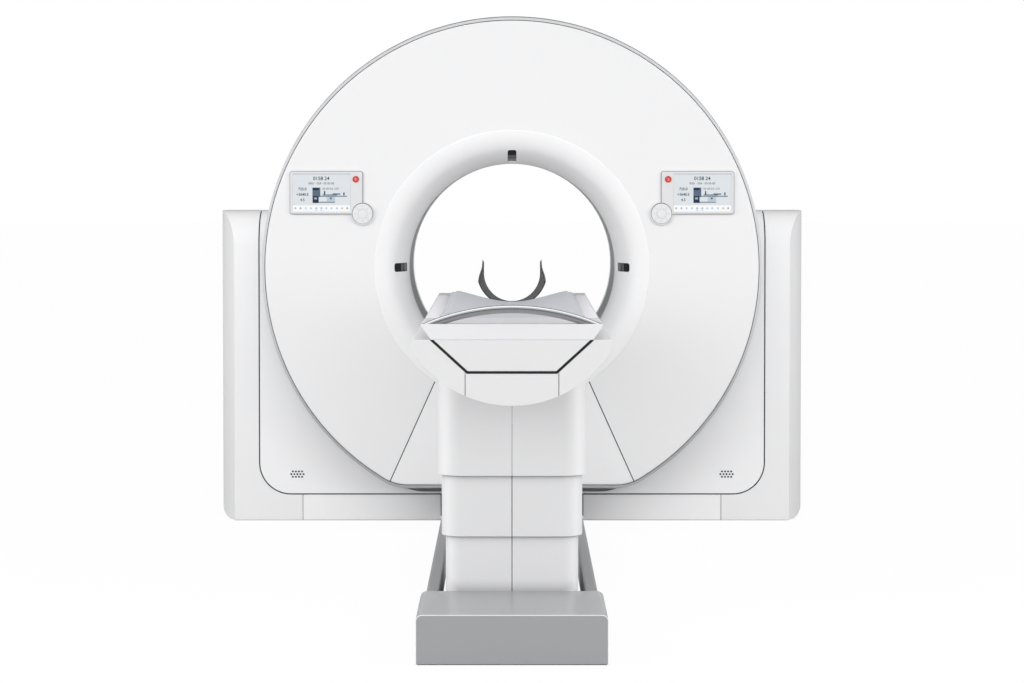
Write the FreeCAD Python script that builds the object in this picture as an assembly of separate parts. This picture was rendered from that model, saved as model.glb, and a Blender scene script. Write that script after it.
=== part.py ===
"""A computed tomography scanner: a round gantry on a floor housing, with a patient table in front of it.

Millimetres, +Z up. The origin lies on the floor under the isocentre. The scan axis runs along Y: the patient
table stands at -Y and the cradle slides towards +Y, into the bore.
"""

import FreeCAD
import Part
import math
import os

V = FreeCAD.Vector
PARTS = {}

# ---- general fits and walls ----
SEAT = 0.3  # gap between two pieces that rest against each other
SLIDE_GAP = 0.3  # gap between a sliding piece and its guide
COVER_WALL = 5.0  # moulded covers
FLOOR_GAP = 2.0  # covers end this far above the floor
SEAM = 2.0  # visible joint between neighbouring covers

# ---- scan axis, bore and round gantry covers ----
BORE_R = 410.0  # clear bore
BORE_TUBE_WALL = 4.0
BORE_TUBE_HALF = 250.0  # the bore tube ends this far from the isocentre, and the funnels begin
FACE_Y = 440.0  # front and rear faces of the round covers
FUNNEL_RISE = 124.0
FUNNEL_R = BORE_R + FUNNEL_RISE  # outer edge of the funnel in the front face
FUNNEL_LIP_R = 95.0  # the flare turns into the front face on this arc
FUNNEL_SOCKET = 12.0  # overlap with the bore tube
FUNNEL_WALL = 4.0
DISC_R = 966.0  # outer edge of the round front face
DISC_CUT = 114.6  # what the flat underside takes off the circle
FLAT_FILLET_R = 180.0  # rounding between a circle and its flat
RIM_FLARE = 21.0  # the conical rim grows by this much
RIM_R = DISC_R + RIM_FLARE
RIM_CUT = 105.5
RIM_FLOOR_Z = 128.5  # the rims' flat underside stands this high over the floor
ISO_Z = RIM_FLOOR_Z + RIM_R - RIM_CUT  # height of the scan axis
HOUSING_HALF_Y = 254.0
RIM_GAP = 14.0  # between the floor housing and the rims
RIM_BACK_Y = HOUSING_HALF_Y + RIM_GAP
RIM_LIP = 3.0  # flat edge of the rim around the round face
RIM_WALL = 4.0
PLATE_T = 4.0  # thickness of the flat round covers
LEDGE = 21.0  # inward ledge that carries a flat cover
BAND_STEP = 12.0  # the rims stand this far over the drum cover between them
BAND_R = RIM_R - BAND_STEP
BAND_CUT = 117.0
BAND_WALL = 4.0
BAND_LAP = 32.0  # the drum cover reaches this far into the rims
BAND_HALF = RIM_BACK_Y + BAND_LAP
BAND_WINDOW_MARGIN = 8.0  # around the stand, where it passes through the band's underside
LOWER_COVER_TOP_X = 300.0  # the lower service cover: half width at its top corners
LOWER_COVER_TOP_Z = ISO_Z - 442.0
LOWER_COVER_FOOT_X = 479.0  # and at the outer edge
LOWER_COVER_FOOT_Z = 170.0
WINDOW_W = 33.0  # positioning-light windows in the funnel
WINDOW_FRONT_Y = -409.0
WINDOW_BACK_Y = -310.0

# ---- floor housing with the two wings ----
HOUSING_TOP_Z = 1228.0
TOP_ROLL_R = 138.0
FOOT_ROUND_X = 75.0  # rounding of the lower outer corners, across
FOOT_ROUND_Z = 38.0  # and upwards
PANEL_MARGIN = 27.0
PANEL_EDGE_X = BAND_R + PANEL_MARGIN  # joint between a wing cover and the inner panels
PANEL_EDGE_Z = 105.0
PANEL_EDGE_R = 125.0
PANEL_SEAM = 4.6
WING_W = 98.0  # width of a wing's front face
WING_EDGE_X = PANEL_EDGE_X + WING_W
WING_BULGE = 69.0  # the side faces bow outwards by this much
HOUSING_CUT = 80.3  # flat underside of the opening around the drum
TOE_INSET = 172.0  # a toe cover ends this far inside the joint
TOE_OUTER_X = PANEL_EDGE_X - TOE_INSET
TOE_INNER_X = 283.0
SPEAKER_INSET = 150.0
SPEAKER_X = PANEL_EDGE_X - SPEAKER_INSET
SPEAKER_Z = 184.0
SPEAKER_PITCH = 12.2
SPEAKER_ROW = 10.7
SPEAKER_HOLE_R = 3.2

# ---- base frame, stator and bearing ----
SILL = 80.0  # square tube of the base frame
SILL_WALL = 6.0
SILL_INSET = 60.0
SILL_HALF_X = WING_EDGE_X - SILL_INSET
SILL_FRONT_INSET = 64.0
SILL_FRONT_Y = SILL_FRONT_INSET - HOUSING_HALF_Y
SILL_REAR_INSET = 54.0
SILL_REAR_Y = HOUSING_HALF_Y - SILL_REAR_INSET
FOOT_T = 15.0
FOOT_W = SILL + 16.0
FOOT_REACH = 45.0  # the foot plates stick out past the sills
ANCHOR_HOLE_R = 9.0
STATOR_Y = SILL_REAR_Y - 30.0  # front face of the stator plate
STATOR_T = 60.0
STATOR_CLEAR = 95.0  # between the stator plate and the drum cover
STATOR_R = BAND_R - STATOR_CLEAR
ROTOR_BORE_GAP = 13.0  # between the bore tube and the rotor
ROTOR_BORE_R = BORE_R + BORE_TUBE_WALL + ROTOR_BORE_GAP
ROTOR_HUB_WALL = 20.0
BEARING_RACE_T = 53.0
BEARING_SPLIT_R = ROTOR_BORE_R + ROTOR_HUB_WALL + BEARING_RACE_T
BEARING_OUTER_T = 60.0
STATOR_BORE_R = BEARING_SPLIT_R + BEARING_OUTER_T
LEG_TOP_SHARE = 0.94  # the stand's legs meet the stator plate at this share of its radius
STATOR_FOOT_INSET = 280.0
STATOR_FOOT_X = SILL_HALF_X - STATOR_FOOT_INSET
STATOR_FOOT_T = 20.0
GUSSET_INSET = 120.0
GUSSET_X = STATOR_FOOT_X - GUSSET_INSET
GUSSET_T = 20.0
GUSSET_CLEAR = 44.0  # under the rotor
GUSSET_TOE_H = 65.0
LUG_W = 90.0
BEARING_GAP = 0.3
BEARING_FRONT_Y = STATOR_Y - 10.0
BEARING_W = 55.0

# ---- rotor ----
ROTOR_HUB_END_Y = STATOR_Y + 92.0
ROTOR_CLEAR = 80.0  # between the rotor and the rim of the stator plate
ROTOR_R = STATOR_R - ROTOR_CLEAR
ROTOR_PLATE_Y = STATOR_Y - 50.0
ROTOR_PLATE_T = 30.0
ROTOR_FLANGE_T = 14.0
ROTOR_FLANGE_Y = -60.0
ROTOR_HOLE_R = 45.0
ROTOR_HOLE_PCD_R = 650.0
ROTOR_HOLES = 4
SLIP_RING_T = 29.0
SLIP_RING_R = ROTOR_BORE_R + ROTOR_HUB_WALL + SLIP_RING_T
SLIP_RING_LENGTH = 72.0
BRUSH_W = 120.0
BRUSH_GAP = 0.3
COIL_GAP = 2.0
COIL_T = 40.0
COIL_SWEEP = 40.0
FOCUS_CLEAR = 143.0  # the focal spot lies this far outside the rotor's bore
FOCUS_R = ROTOR_BORE_R + FOCUS_CLEAR
FAN_HALF_ANGLE = 27.0
DETECTOR_CLEAR = 53.0  # and the detector cells this far, on the other side
DETECTOR_FOCUS_R = FOCUS_R + ROTOR_BORE_R + DETECTOR_CLEAR
DETECTOR_T = 80.0
DETECTOR_HALF_W = 70.0
FAN_HALF_Y = 12.0  # the fan of rays is this thick, to either side of the scan plane
COLLIMATOR_HEAD_HALF_W = 60.0
COLLIMATOR_FOOT_HALF_W = 130.0
COLLIMATOR_HALF_Y = 60.0
COLLIMATOR_WALL = 30.0
COLLIMATOR_GAP = 12.0
TUBE_DROP = 0.35  # the focal spot lies under the tube's middle by this share of its radius
TUBE_CLEAR = 67.5  # between the tube and the rotor's rim
TUBE_R = (ROTOR_R - ROTOR_FLANGE_T - TUBE_CLEAR - FOCUS_R) / (1 + TUBE_DROP)
TUBE_FRONT_Y = -170.0
GENERATOR_CLEAR = 50.0  # between the generator and the rotor's edge
GENERATOR_W = 200.0
GENERATOR_X = ROTOR_R - GENERATOR_CLEAR - GENERATOR_W
GENERATOR_H = 300.0
GENERATOR_FRONT_Y = -120.0

# ---- displays on the front face ----
DISPLAY_INSET = 244.0
DISPLAY_X = DISC_R - DISPLAY_INSET
DISPLAY_Z = ISO_Z + 293.0
DISPLAY_W = 280.0
DISPLAY_H = 163.0
DISPLAY_R = 8.0
DISPLAY_T = 14.0
SCREEN_W = 225.0
SCREEN_H = 149.0
SCREEN_T = 3.0
SCREEN_OFFSET = 18.25  # the screen sits outboard of the middle of its housing
STOP_X = DISPLAY_X - 115.0
STOP_Z = DISPLAY_Z + 52.0
STOP_R = 12.5
STOP_TRAVEL = 2.0
DIAL_X = DISPLAY_X - 141.0
DIAL_Z = DISPLAY_Z - 81.4
DIAL_BEZEL_R = 43.7
DIAL_PAD_R = 39.0
DIAL_BUTTON_R = 18.0
DIAL_TRAVEL = 1.5
BUTTON_GAP = 0.4  # around a button
BUTTON_PROUD = 3.0
BUTTON_WALL = 3.5  # what is left of the housing behind a button

# ---- table base, floor beams and pedestal ----
TABLE_Y = -2537.0  # middle of the pedestal
BASE_FRONT_Y = -3525.0
BASE_HALF_W = 272.0
BASE_H = 142.5
BASE_WALL = 4.0
BASE_TOP_R = 18.0
BASE_PLATE_T = 15.0
TABLE_ANCHOR_X = 160.0
TABLE_ANCHOR_Y = -2772.0  # middle of the table's four anchor holes
TABLE_ANCHOR_SPACING_Y = 1400.0
TABLE_ANCHOR_R = 7.0
BEAM_X = 245.0
BEAM_W = 38.0
BEAM_H = 100.0
BEAM_WALL = 4.0
BEAM_TOP_R = 8.0
TIER_HALF_WIDTH = 198.0  # the fixed tier
TIER_HALF_LENGTH = 535.0
TIER_STEP = 12.0  # each tier is this much wider than the one below
TIER_WALL = 5.0
TIER_CORNER_R = 52.0
TIER_SEAM = 1.0
FIXED_TIER_TOP_Z = 405.0
MID_TIER_BOTTOM_Z = 306.0
MID_TIER_TOP_Z = 580.0
TOP_TIER_BOTTOM_Z = 488.0
COLUMN_HALF_WIDTH = 130.0
COLUMN_HALF_LENGTH = 180.0
COLUMN_WALL = 10.0
COLUMN_TOP_Z = 398.0
MID_COLUMN_BOTTOM_Z = 172.0
MID_COLUMN_TOP_Z = 565.0
MID_CARRIER_T = 10.0
TOP_COLUMN_BOTTOM_Z = 322.0

# ---- table housing ----
BOWL_FRONT_Y = -3633.0
BOWL_BACK_Y = -700.0
BOWL_HALF_W = 276.0
TABLE_DROP = 86.0  # the housing's top edge lies this far under the scan axis
BOWL_TOP_Z = ISO_Z - TABLE_DROP
BOWL_R = 323.0
BOWL_CENTRE_Z = BOWL_TOP_Z + 140.0
CHANNEL_HALF_W = 124.0  # the V-shaped channel, along the middle of the dark joint
CHANNEL_Z = BOWL_TOP_Z - 90.0
CHANNEL_ANGLE = 42.4
CHANNEL_GAP = 5.5
CHANNEL_R = 10.0
FRONT_PANEL_T = 5.0
FRONT_PANEL_X = 129.7
BEAM_CORE_W = 160.0
BEAM_CORE_TOP_Z = CHANNEL_Z - 16.0
BEAM_CORE_H = 50.0

# ---- cradle ----
CRADLE_FRONT_Y = -3580.0
CRADLE_BACK_Y = -1806.0
CRADLE_HALF_W = 250.0
CRADLE_RAIL_Z = BOWL_TOP_Z + 41.0
CRADLE_NECK_Z = BOWL_TOP_Z + 3.0
CRADLE_NECK_X = 223.0
CRADLE_KEEL_Z = BOWL_TOP_Z - 39.0
CRADLE_KEEL_X = 170.0
BED_HALF_W = 222.0
BED_DEPTH = 45.0
END_PANEL_T = 12.0
CAP_BACK_Y = -3290.0
CAP_TOP_Z = BOWL_TOP_Z + 43.0
CAP_LIP_Z = BOWL_TOP_Z + 39.0
CAP_LIP_X = 254.0
CAP_FOOT_X = 224.5
CAP_LEAN = 21.0
RUNNER_X = 80.0
RUNNER_W = 50.0
RUNNER_FRONT_Y = -3575.0
RUNNER_BACK_Y = -2450.0
HANDLE_Y = -3597.0
HANDLE_R = 611.5
HANDLE_TUBE_R = 11.5
HANDLE_TOP_Z = BOWL_TOP_Z + 95.0
HANDLE_HALF_ANGLE = 23.5
MAT_HALF_W = 216.0
MAT_CENTRE_Z = BOWL_TOP_Z + 18.0
MAT_PEAK_X = 196.0
MAT_PEAK_Z = BOWL_TOP_Z + 60.0
MAT_SLOPE = 14.9  # fall of the mat's flanks towards its middle, in degrees
HEADREST_FRONT_Y = -1793.0
HEADREST_BACK_Y = -1490.0
HEADREST_BOTTOM_Z = BOWL_TOP_Z + 1.0
HEADREST_NEAR_R = 121.0  # radius of the trough towards the patient
HEADREST_FAR_R = 97.0
HEADREST_NEAR_Z = BOWL_TOP_Z + 90.0  # the rim rises from here to the tips at the far end
HEADREST_TIP_Z = BOWL_TOP_Z + 154.0
HEADREST_WALL = 5.0
LINER_T = 7.0
LINER_DROP = 10.0  # the liner ends this far below the shell's rim
BRACKET_W = 80.0
BRACKET_FLANGE_W = 220.0


# ---------------------------------------------------------------- drawing helpers


def box(x0, x1, y0, y1, z0, z1):
    """A block between two corners."""
    return Part.makeBox(x1 - x0, y1 - y0, z1 - z0, V(x0, y0, z0))


def mirrored(shape):
    """The same piece on the other side of the plane X = 0."""
    return shape.mirror(V(0, 0, 0), V(1, 0, 0))


def rounded(corners, at):
    """A closed wire through corners (a, b, radius), each radius blended in; at turns (a, b) into a point."""
    count = len(corners)
    ends = []
    for i, (a, b, radius) in enumerate(corners):
        here = V(a, b, 0)
        back = V(*corners[i - 1][:2], 0) - here
        ahead = V(*corners[(i + 1) % count][:2], 0) - here
        back.normalize()
        ahead.normalize()
        if radius <= 0:
            ends.append((here, None, here))
            continue
        half = back.getAngle(ahead) / 2
        middle = back + ahead
        middle.normalize()
        centre = here + middle * (radius / math.sin(half))
        reach = radius / math.tan(half)
        ends.append((here + back * reach, centre - middle * radius, here + ahead * reach))
    edges = []
    for i, (start, middle, end) in enumerate(ends):
        if middle is not None:
            edges.append(Part.Arc(at(start.x, start.y), at(middle.x, middle.y), at(end.x, end.y)).toShape())
        following = ends[(i + 1) % count][0]
        if (following - end).Length > 1e-6:
            edges.append(Part.makeLine(at(end.x, end.y), at(following.x, following.y)))
    return Part.Wire(edges)


def path(start, steps, at):
    """A closed wire from start through steps: a point (a, b), or an arc ((a, b) on the way, (a, b) at its end)."""
    edges = []
    here = start
    for step in list(steps) + [start]:
        if isinstance(step[0], tuple):
            through, end = step
            edges.append(Part.Arc(at(*here), at(*through), at(*end)).toShape())
        else:
            end = step
            if math.dist(here, end) > 1e-6:
                edges.append(Part.makeLine(at(*here), at(*end)))
        here = end
    return Part.Wire(edges)


def front_at(y):
    """Points of a front view (x, z), drawn in the plane at y."""
    return lambda x, z: V(x, y, z)


def side_at(x):
    """Points of a side view (y, z), drawn in the plane at x."""
    return lambda y, z: V(x, y, z)


def plan_at(z):
    """Points of a plan (x, y), drawn in the plane at z."""
    return lambda x, y: V(x, y, z)


def along_y(wire, y0, y1):
    """A front-view wire drawn at y0, extruded to y1."""
    return Part.Face(wire).extrude(V(0, y1 - y0, 0))


def turned(profile):
    """A ring about the scan axis from its section, a list of (radius, y)."""
    points = [V(0, y, ISO_Z + r) for r, y in profile]
    return Part.Face(Part.makePolygon(points + points[:1])).revolve(V(0, 0, ISO_Z), V(0, 1, 0), 360)


def barrel(radius, y0, y1):
    """A full cylinder about the scan axis."""
    return Part.makeCylinder(radius, y1 - y0, V(0, y0, ISO_Z), V(0, 1, 0))


def dish_wire(radius, cut, y):
    """A circle about the scan axis whose underside is cut off flat, with both lower corners rounded."""
    fillet = FLAT_FILLET_R
    flat_z = ISO_Z - radius + cut
    across = math.sqrt((radius - fillet) ** 2 - (ISO_Z - flat_z - fillet) ** 2)
    turn = math.atan2(ISO_Z - flat_z - fillet, across)
    touch = (radius * math.cos(turn), ISO_Z - radius * math.sin(turn))
    half = (math.pi / 2 - turn) / 2
    middle = (
        across + fillet * math.sin(half),
        flat_z + fillet - fillet * math.cos(half),
    )
    at = front_at(y)
    right = ((middle[0], middle[1]), touch)
    steps = [
        (across, flat_z),
        right,
        ((0, ISO_Z + radius), (-touch[0], touch[1])),
        ((-middle[0], middle[1]), (-across, flat_z)),
    ]
    return path((-across, flat_z), steps, at)


def dish(radius, cut, y0, y1):
    """A drum with the outline of the round covers."""
    return along_y(dish_wire(radius, cut, y0), y0, y1)


def dish_cone(radius0, cut0, y0, radius1, cut1, y1):
    """The same outline, growing from one size to another."""
    wires = [dish_wire(radius0, cut0, y0), dish_wire(radius1, cut1, y1)]
    return Part.makeLoft(wires, True, True)


def solid_of(shape):
    """One solid, or a group of solids, with joints between flat faces merged."""
    merged = shape.removeSplitter()
    return merged.Solids[0] if len(merged.Solids) == 1 else Part.makeCompound(merged.Solids)


def keep(name, shape):
    """Store a piece under its node's name."""
    PARTS[name] = solid_of(shape)


def keep_pair(name, left):
    """Store the left piece and its mirror image on the right."""
    keep("left_" + name, left)
    keep("right_" + name, mirrored(left))


# ---------------------------------------------------------------- round covers of the gantry


def flare_arcs():
    """The flare's two tangent arcs, as (depth, radius) points: throat, on the way, joint, on the way, lip."""
    rise = FUNNEL_R - BORE_R
    depth = FACE_Y - BORE_TUBE_HALF
    lip_r = min(FUNNEL_LIP_R, 0.95 * rise, 0.95 * depth)
    throat_r = ((depth - lip_r) ** 2 + rise**2 - lip_r**2) / (2 * (rise - lip_r))
    joint = math.atan2(depth - lip_r, throat_r - rise)
    lip_middle = (joint + math.pi / 2) / 2
    points = []
    for turn, radius, along, up in (
        (0, throat_r, 0, throat_r),
        (joint / 2, throat_r, 0, throat_r),
        (joint, throat_r, 0, throat_r),
        (lip_middle, lip_r, depth - lip_r, rise),
        (math.pi / 2, lip_r, depth - lip_r, rise),
    ):
        y = -BORE_TUBE_HALF - along - radius * math.sin(turn)
        points.append((y, ISO_Z + BORE_R + up - radius * math.cos(turn)))
    return points


def funnel():
    """The flared mouth at -Y: the flare, a socket for the bore tube and a flange behind the round face."""
    throat, on_throat, joint, on_lip, lip = flare_arcs()
    socket_z = ISO_Z + BORE_R + BORE_TUBE_WALL + SEAT
    socket_back = -BORE_TUBE_HALF + FUNNEL_SOCKET
    seat_y = -FACE_Y + PLATE_T + SEAT
    flange_z = ISO_Z + FUNNEL_R + LEDGE
    steps = [
        (on_throat, joint),
        (on_lip, lip),
        (seat_y, lip[1]),
        (seat_y, flange_z),
        (seat_y + FUNNEL_WALL, flange_z),
        (seat_y + FUNNEL_WALL, lip[1] - LEDGE),
        (joint[0] + FUNNEL_WALL, joint[1] + FUNNEL_WALL),
        (-BORE_TUBE_HALF - FUNNEL_SOCKET, socket_z + FUNNEL_WALL),
        (socket_back, socket_z + FUNNEL_WALL),
        (socket_back, socket_z),
        (-BORE_TUBE_HALF, socket_z),
    ]
    section = Part.Face(path(throat, steps, side_at(0)))
    return section.revolve(V(0, 0, ISO_Z), V(0, 1, 0), 360)


def window_beams(margin=0.0):
    """The three straight shafts that the positioning lights shine along: left, right and top."""
    half = WINDOW_W / 2 - margin
    reach = FUNNEL_R + LEDGE
    front = WINDOW_FRONT_Y + margin
    back = WINDOW_BACK_Y - margin
    left = box(-reach, -BORE_R + 1, front, back, ISO_Z - half, ISO_Z + half)
    top = box(-half, half, front, back, ISO_Z + BORE_R - 1, ISO_Z + reach)
    return [left, mirrored(left), top]


def make_funnels():
    flare = funnel()
    front = flare
    for beam in window_beams():
        front = front.cut(beam)
    keep("front_funnel", front)
    panes = [flare.common(beam) for beam in window_beams(SEAT)]
    keep("laser_windows", Part.makeCompound(panes))
    keep("rear_funnel", flare.mirror(V(0, 0, 0), V(0, 1, 0)))
    outer_r = BORE_R + BORE_TUBE_WALL
    tube_half = BORE_TUBE_HALF - SEAT
    keep("bore_tube", barrel(outer_r, -tube_half, tube_half).cut(barrel(BORE_R, -FACE_Y, FACE_Y)))


def lower_cover_region(grow):
    """The trapezium of the lower service cover, grown sideways, from inside the funnel to past the rim."""
    slope = (LOWER_COVER_FOOT_X - LOWER_COVER_TOP_X) / (LOWER_COVER_TOP_Z - LOWER_COVER_FOOT_Z)
    top_z = LOWER_COVER_TOP_Z + FUNNEL_R / 4
    top_x = LOWER_COVER_TOP_X - slope * (top_z - LOWER_COVER_TOP_Z) + grow
    foot_x = LOWER_COVER_TOP_X + slope * LOWER_COVER_TOP_Z + grow
    corners = [(-foot_x, 0, 0), (foot_x, 0, 0), (top_x, top_z, 0), (-top_x, top_z, 0)]
    return along_y(rounded(corners, front_at(-FACE_Y - 1)), -FACE_Y - 1, 0)


def make_round_covers():
    plate = dish(DISC_R - SEAT, DISC_CUT, -FACE_Y, -FACE_Y + PLATE_T)
    plate = plate.cut(barrel(FUNNEL_R + SEAT, -FACE_Y - 1, FACE_Y))
    keep("rear_cover", plate.mirror(V(0, 0, 0), V(0, 1, 0)))
    keep("front_lower_cover", plate.common(lower_cover_region(-SEAM / 2)))
    keep("front_cover", plate.cut(lower_cover_region(SEAM / 2)))

    lip_r = DISC_R + RIM_LIP
    ledge_y = -FACE_Y + PLATE_T + SEAT
    flange_y = -RIM_BACK_Y - RIM_WALL
    rim = dish_cone(lip_r, DISC_CUT, -FACE_Y, RIM_R, RIM_CUT, -RIM_BACK_Y)
    rim = rim.cut(dish(DISC_R, DISC_CUT, -FACE_Y, ledge_y))
    rim = rim.cut(dish(DISC_R - LEDGE, DISC_CUT, ledge_y, ledge_y + RIM_WALL))
    rim = rim.cut(dish_cone(lip_r - RIM_WALL, DISC_CUT, ledge_y + RIM_WALL, RIM_R - RIM_WALL, RIM_CUT, flange_y))
    rim = rim.cut(dish(BAND_R + SEAT, BAND_CUT, flange_y, -RIM_BACK_Y))
    keep("front_rim", rim)
    keep("rear_rim", rim.mirror(V(0, 0, 0), V(0, 1, 0)))

    band = dish(BAND_R, BAND_CUT, -BAND_HALF, BAND_HALF)
    inside = dish(BAND_R - BAND_WALL, BAND_CUT, -BAND_HALF, BAND_HALF)
    margin = BAND_WINDOW_MARGIN
    window_x = STATOR_R * LEG_TOP_SHARE + margin
    window_top = ISO_Z - math.sqrt((BAND_R - BAND_WALL) ** 2 - window_x**2) + margin
    window_front = SILL_FRONT_Y - SILL / 2 - margin
    window_back = SILL_REAR_Y + SILL / 2 + margin
    stand = box(-window_x, window_x, window_front, window_back, 0, window_top)
    keep("drum_band", band.cut(inside).cut(stand))


# ---------------------------------------------------------------- floor housing


def housing_block(inset):
    """The outer form of the floor housing, or the same form drawn in by a wall."""
    half_y = HOUSING_HALF_Y - inset
    edge = WING_EDGE_X - inset
    side = WING_EDGE_X + WING_BULGE - inset
    top = HOUSING_TOP_Z - inset
    roll = TOP_ROLL_R - inset
    low = FLOOR_GAP + inset
    plan = path(
        (-edge, -half_y),
        [(edge, -half_y), ((side, 0), (edge, half_y)), (-edge, half_y), ((-side, 0), (-edge, -half_y))],
        plan_at(low),
    )
    block = Part.Face(plan).extrude(V(0, 0, top - low))
    section = rounded(
        [(-half_y, low, 0), (half_y, low, 0), (half_y, top, roll), (-half_y, top, roll)],
        side_at(-side - 10),
    )
    block = block.common(Part.Face(section).extrude(V(2 * side + 20, 0, 0)))
    round_x = side - FOOT_ROUND_X
    round_z = low + FOOT_ROUND_Z
    bend_x = side - FOOT_ROUND_X * (1 - math.sqrt(0.5))
    bend_z = low + FOOT_ROUND_Z * (1 - math.sqrt(0.5))
    outline = path(
        (-round_x, low),
        [
            (round_x, low),
            ((bend_x, bend_z), (side, round_z)),
            (side, top),
            (-side, top),
            (-side, round_z),
            ((-bend_x, bend_z), (-round_x, low)),
        ],
        front_at(-half_y - 10),
    )
    return block.common(along_y(outline, -half_y - 10, half_y + 10))


def panel_region(grow, y0, y1):
    """The area inside the long joint of the wings, which runs down, round a corner and along the toe."""
    side = PANEL_EDGE_X + grow
    low = PANEL_EDGE_Z - grow
    radius = PANEL_EDGE_R + grow
    top = HOUSING_TOP_Z + 10
    corners = [(-side, low, radius), (side, low, radius), (side, top, 0), (-side, top, 0)]
    return along_y(rounded(corners, front_at(y0)), y0, y1)


def octagon(x, z):
    """The eight-sided outline of one speaker hole."""
    at = front_at(-HOUSING_HALF_Y - 1)
    points = []
    for i in range(9):
        turn = 2 * math.pi * (i + 0.5) / 8
        points.append(at(x + SPEAKER_HOLE_R * math.cos(turn), z + SPEAKER_HOLE_R * math.sin(turn)))
    return Part.makePolygon(points)


def speaker_holes(x):
    """Thirteen holes in rows of four, five and four."""
    holes = []
    for row, count in ((1, 4), (0, 5), (-1, 4)):
        for i in range(count):
            hole_x = x + (i - (count - 1) / 2) * SPEAKER_PITCH
            hole_z = SPEAKER_Z + row * SPEAKER_ROW
            holes.append(along_y(octagon(hole_x, hole_z), -HOUSING_HALF_Y - 1, 0))
    return Part.makeCompound(holes)


def make_housing():
    reach = HOUSING_HALF_Y + 1
    foot_end = SILL_HALF_X + FOOT_REACH
    shell = housing_block(0).cut(housing_block(COVER_WALL))
    inner_y = HOUSING_HALF_Y - COVER_WALL
    shell = shell.cut(box(-foot_end - SEAT, foot_end + SEAT, -inner_y, inner_y, 0, FOOT_T + SEAT))
    shell = shell.cut(dish(BAND_R + SEAT, HOUSING_CUT, -reach, reach))

    half_seam = PANEL_SEAM / 2
    wings = shell.cut(panel_region(half_seam, -reach, reach))
    outer_x = TOE_OUTER_X + SEAM / 2
    wings = wings.cut(box(-outer_x, outer_x, -reach, reach, 0, PANEL_EDGE_Z))
    sides = sorted(wings.Solids, key=lambda s: s.CenterOfMass.x)
    keep("left_wing_cover", sides[0])
    keep("right_wing_cover", sides[-1])

    panels = shell.common(panel_region(-half_seam, -reach, reach))
    left_front = panels.common(box(-WING_EDGE_X, -SEAM / 2, -reach, -SEAM / 2, 0, HOUSING_TOP_Z + 1))
    left_front = left_front.cut(speaker_holes(-SPEAKER_X))
    keep_pair("inner_panel", left_front)
    rear = panels.common(box(-WING_EDGE_X, WING_EDGE_X, SEAM / 2, reach, 0, HOUSING_TOP_Z + 1))

    toe_x = TOE_OUTER_X - SEAM / 2
    toe_top = PANEL_EDGE_Z - half_seam
    sill_y = SILL_FRONT_Y - SILL / 2
    tab_w = SILL / 2
    toe = box(-toe_x, -TOE_INNER_X, -HOUSING_HALF_Y, -inner_y, FLOOR_GAP, toe_top)
    for x in (-toe_x + tab_w, -TOE_INNER_X - 2 * tab_w):
        toe = toe.fuse(box(x, x + tab_w, -inner_y, sill_y - SEAT, FOOT_T + 10, FOOT_T + SILL - 10))
    keep("front_toe_covers", Part.makeCompound([toe, mirrored(toe)]))
    rear_sill_y = SILL_REAR_Y + SILL / 2
    joint_z = PANEL_EDGE_Z + half_seam
    rear = rear.fuse(box(-toe_x, toe_x, inner_y, HOUSING_HALF_Y, FLOOR_GAP, joint_z))
    for x in (-toe_x + tab_w, -tab_w / 2, toe_x - 2 * tab_w):
        rear = rear.fuse(box(x, x + tab_w, rear_sill_y + SEAT, inner_y, FOOT_T + 10, FOOT_T + SILL - 10))
    keep("rear_panel", rear)


# ---------------------------------------------------------------- frame, stator and bearing


def square_tube_x(y):
    """A sill of the base frame, along X."""
    half = SILL / 2
    outer = box(-SILL_HALF_X, SILL_HALF_X, y - half, y + half, FOOT_T, FOOT_T + SILL)
    core = half - SILL_WALL
    mid_z = FOOT_T + half
    end = SILL_HALF_X - SILL_WALL
    return outer.cut(box(-end, end, y - core, y + core, mid_z - core, mid_z + core))


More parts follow.
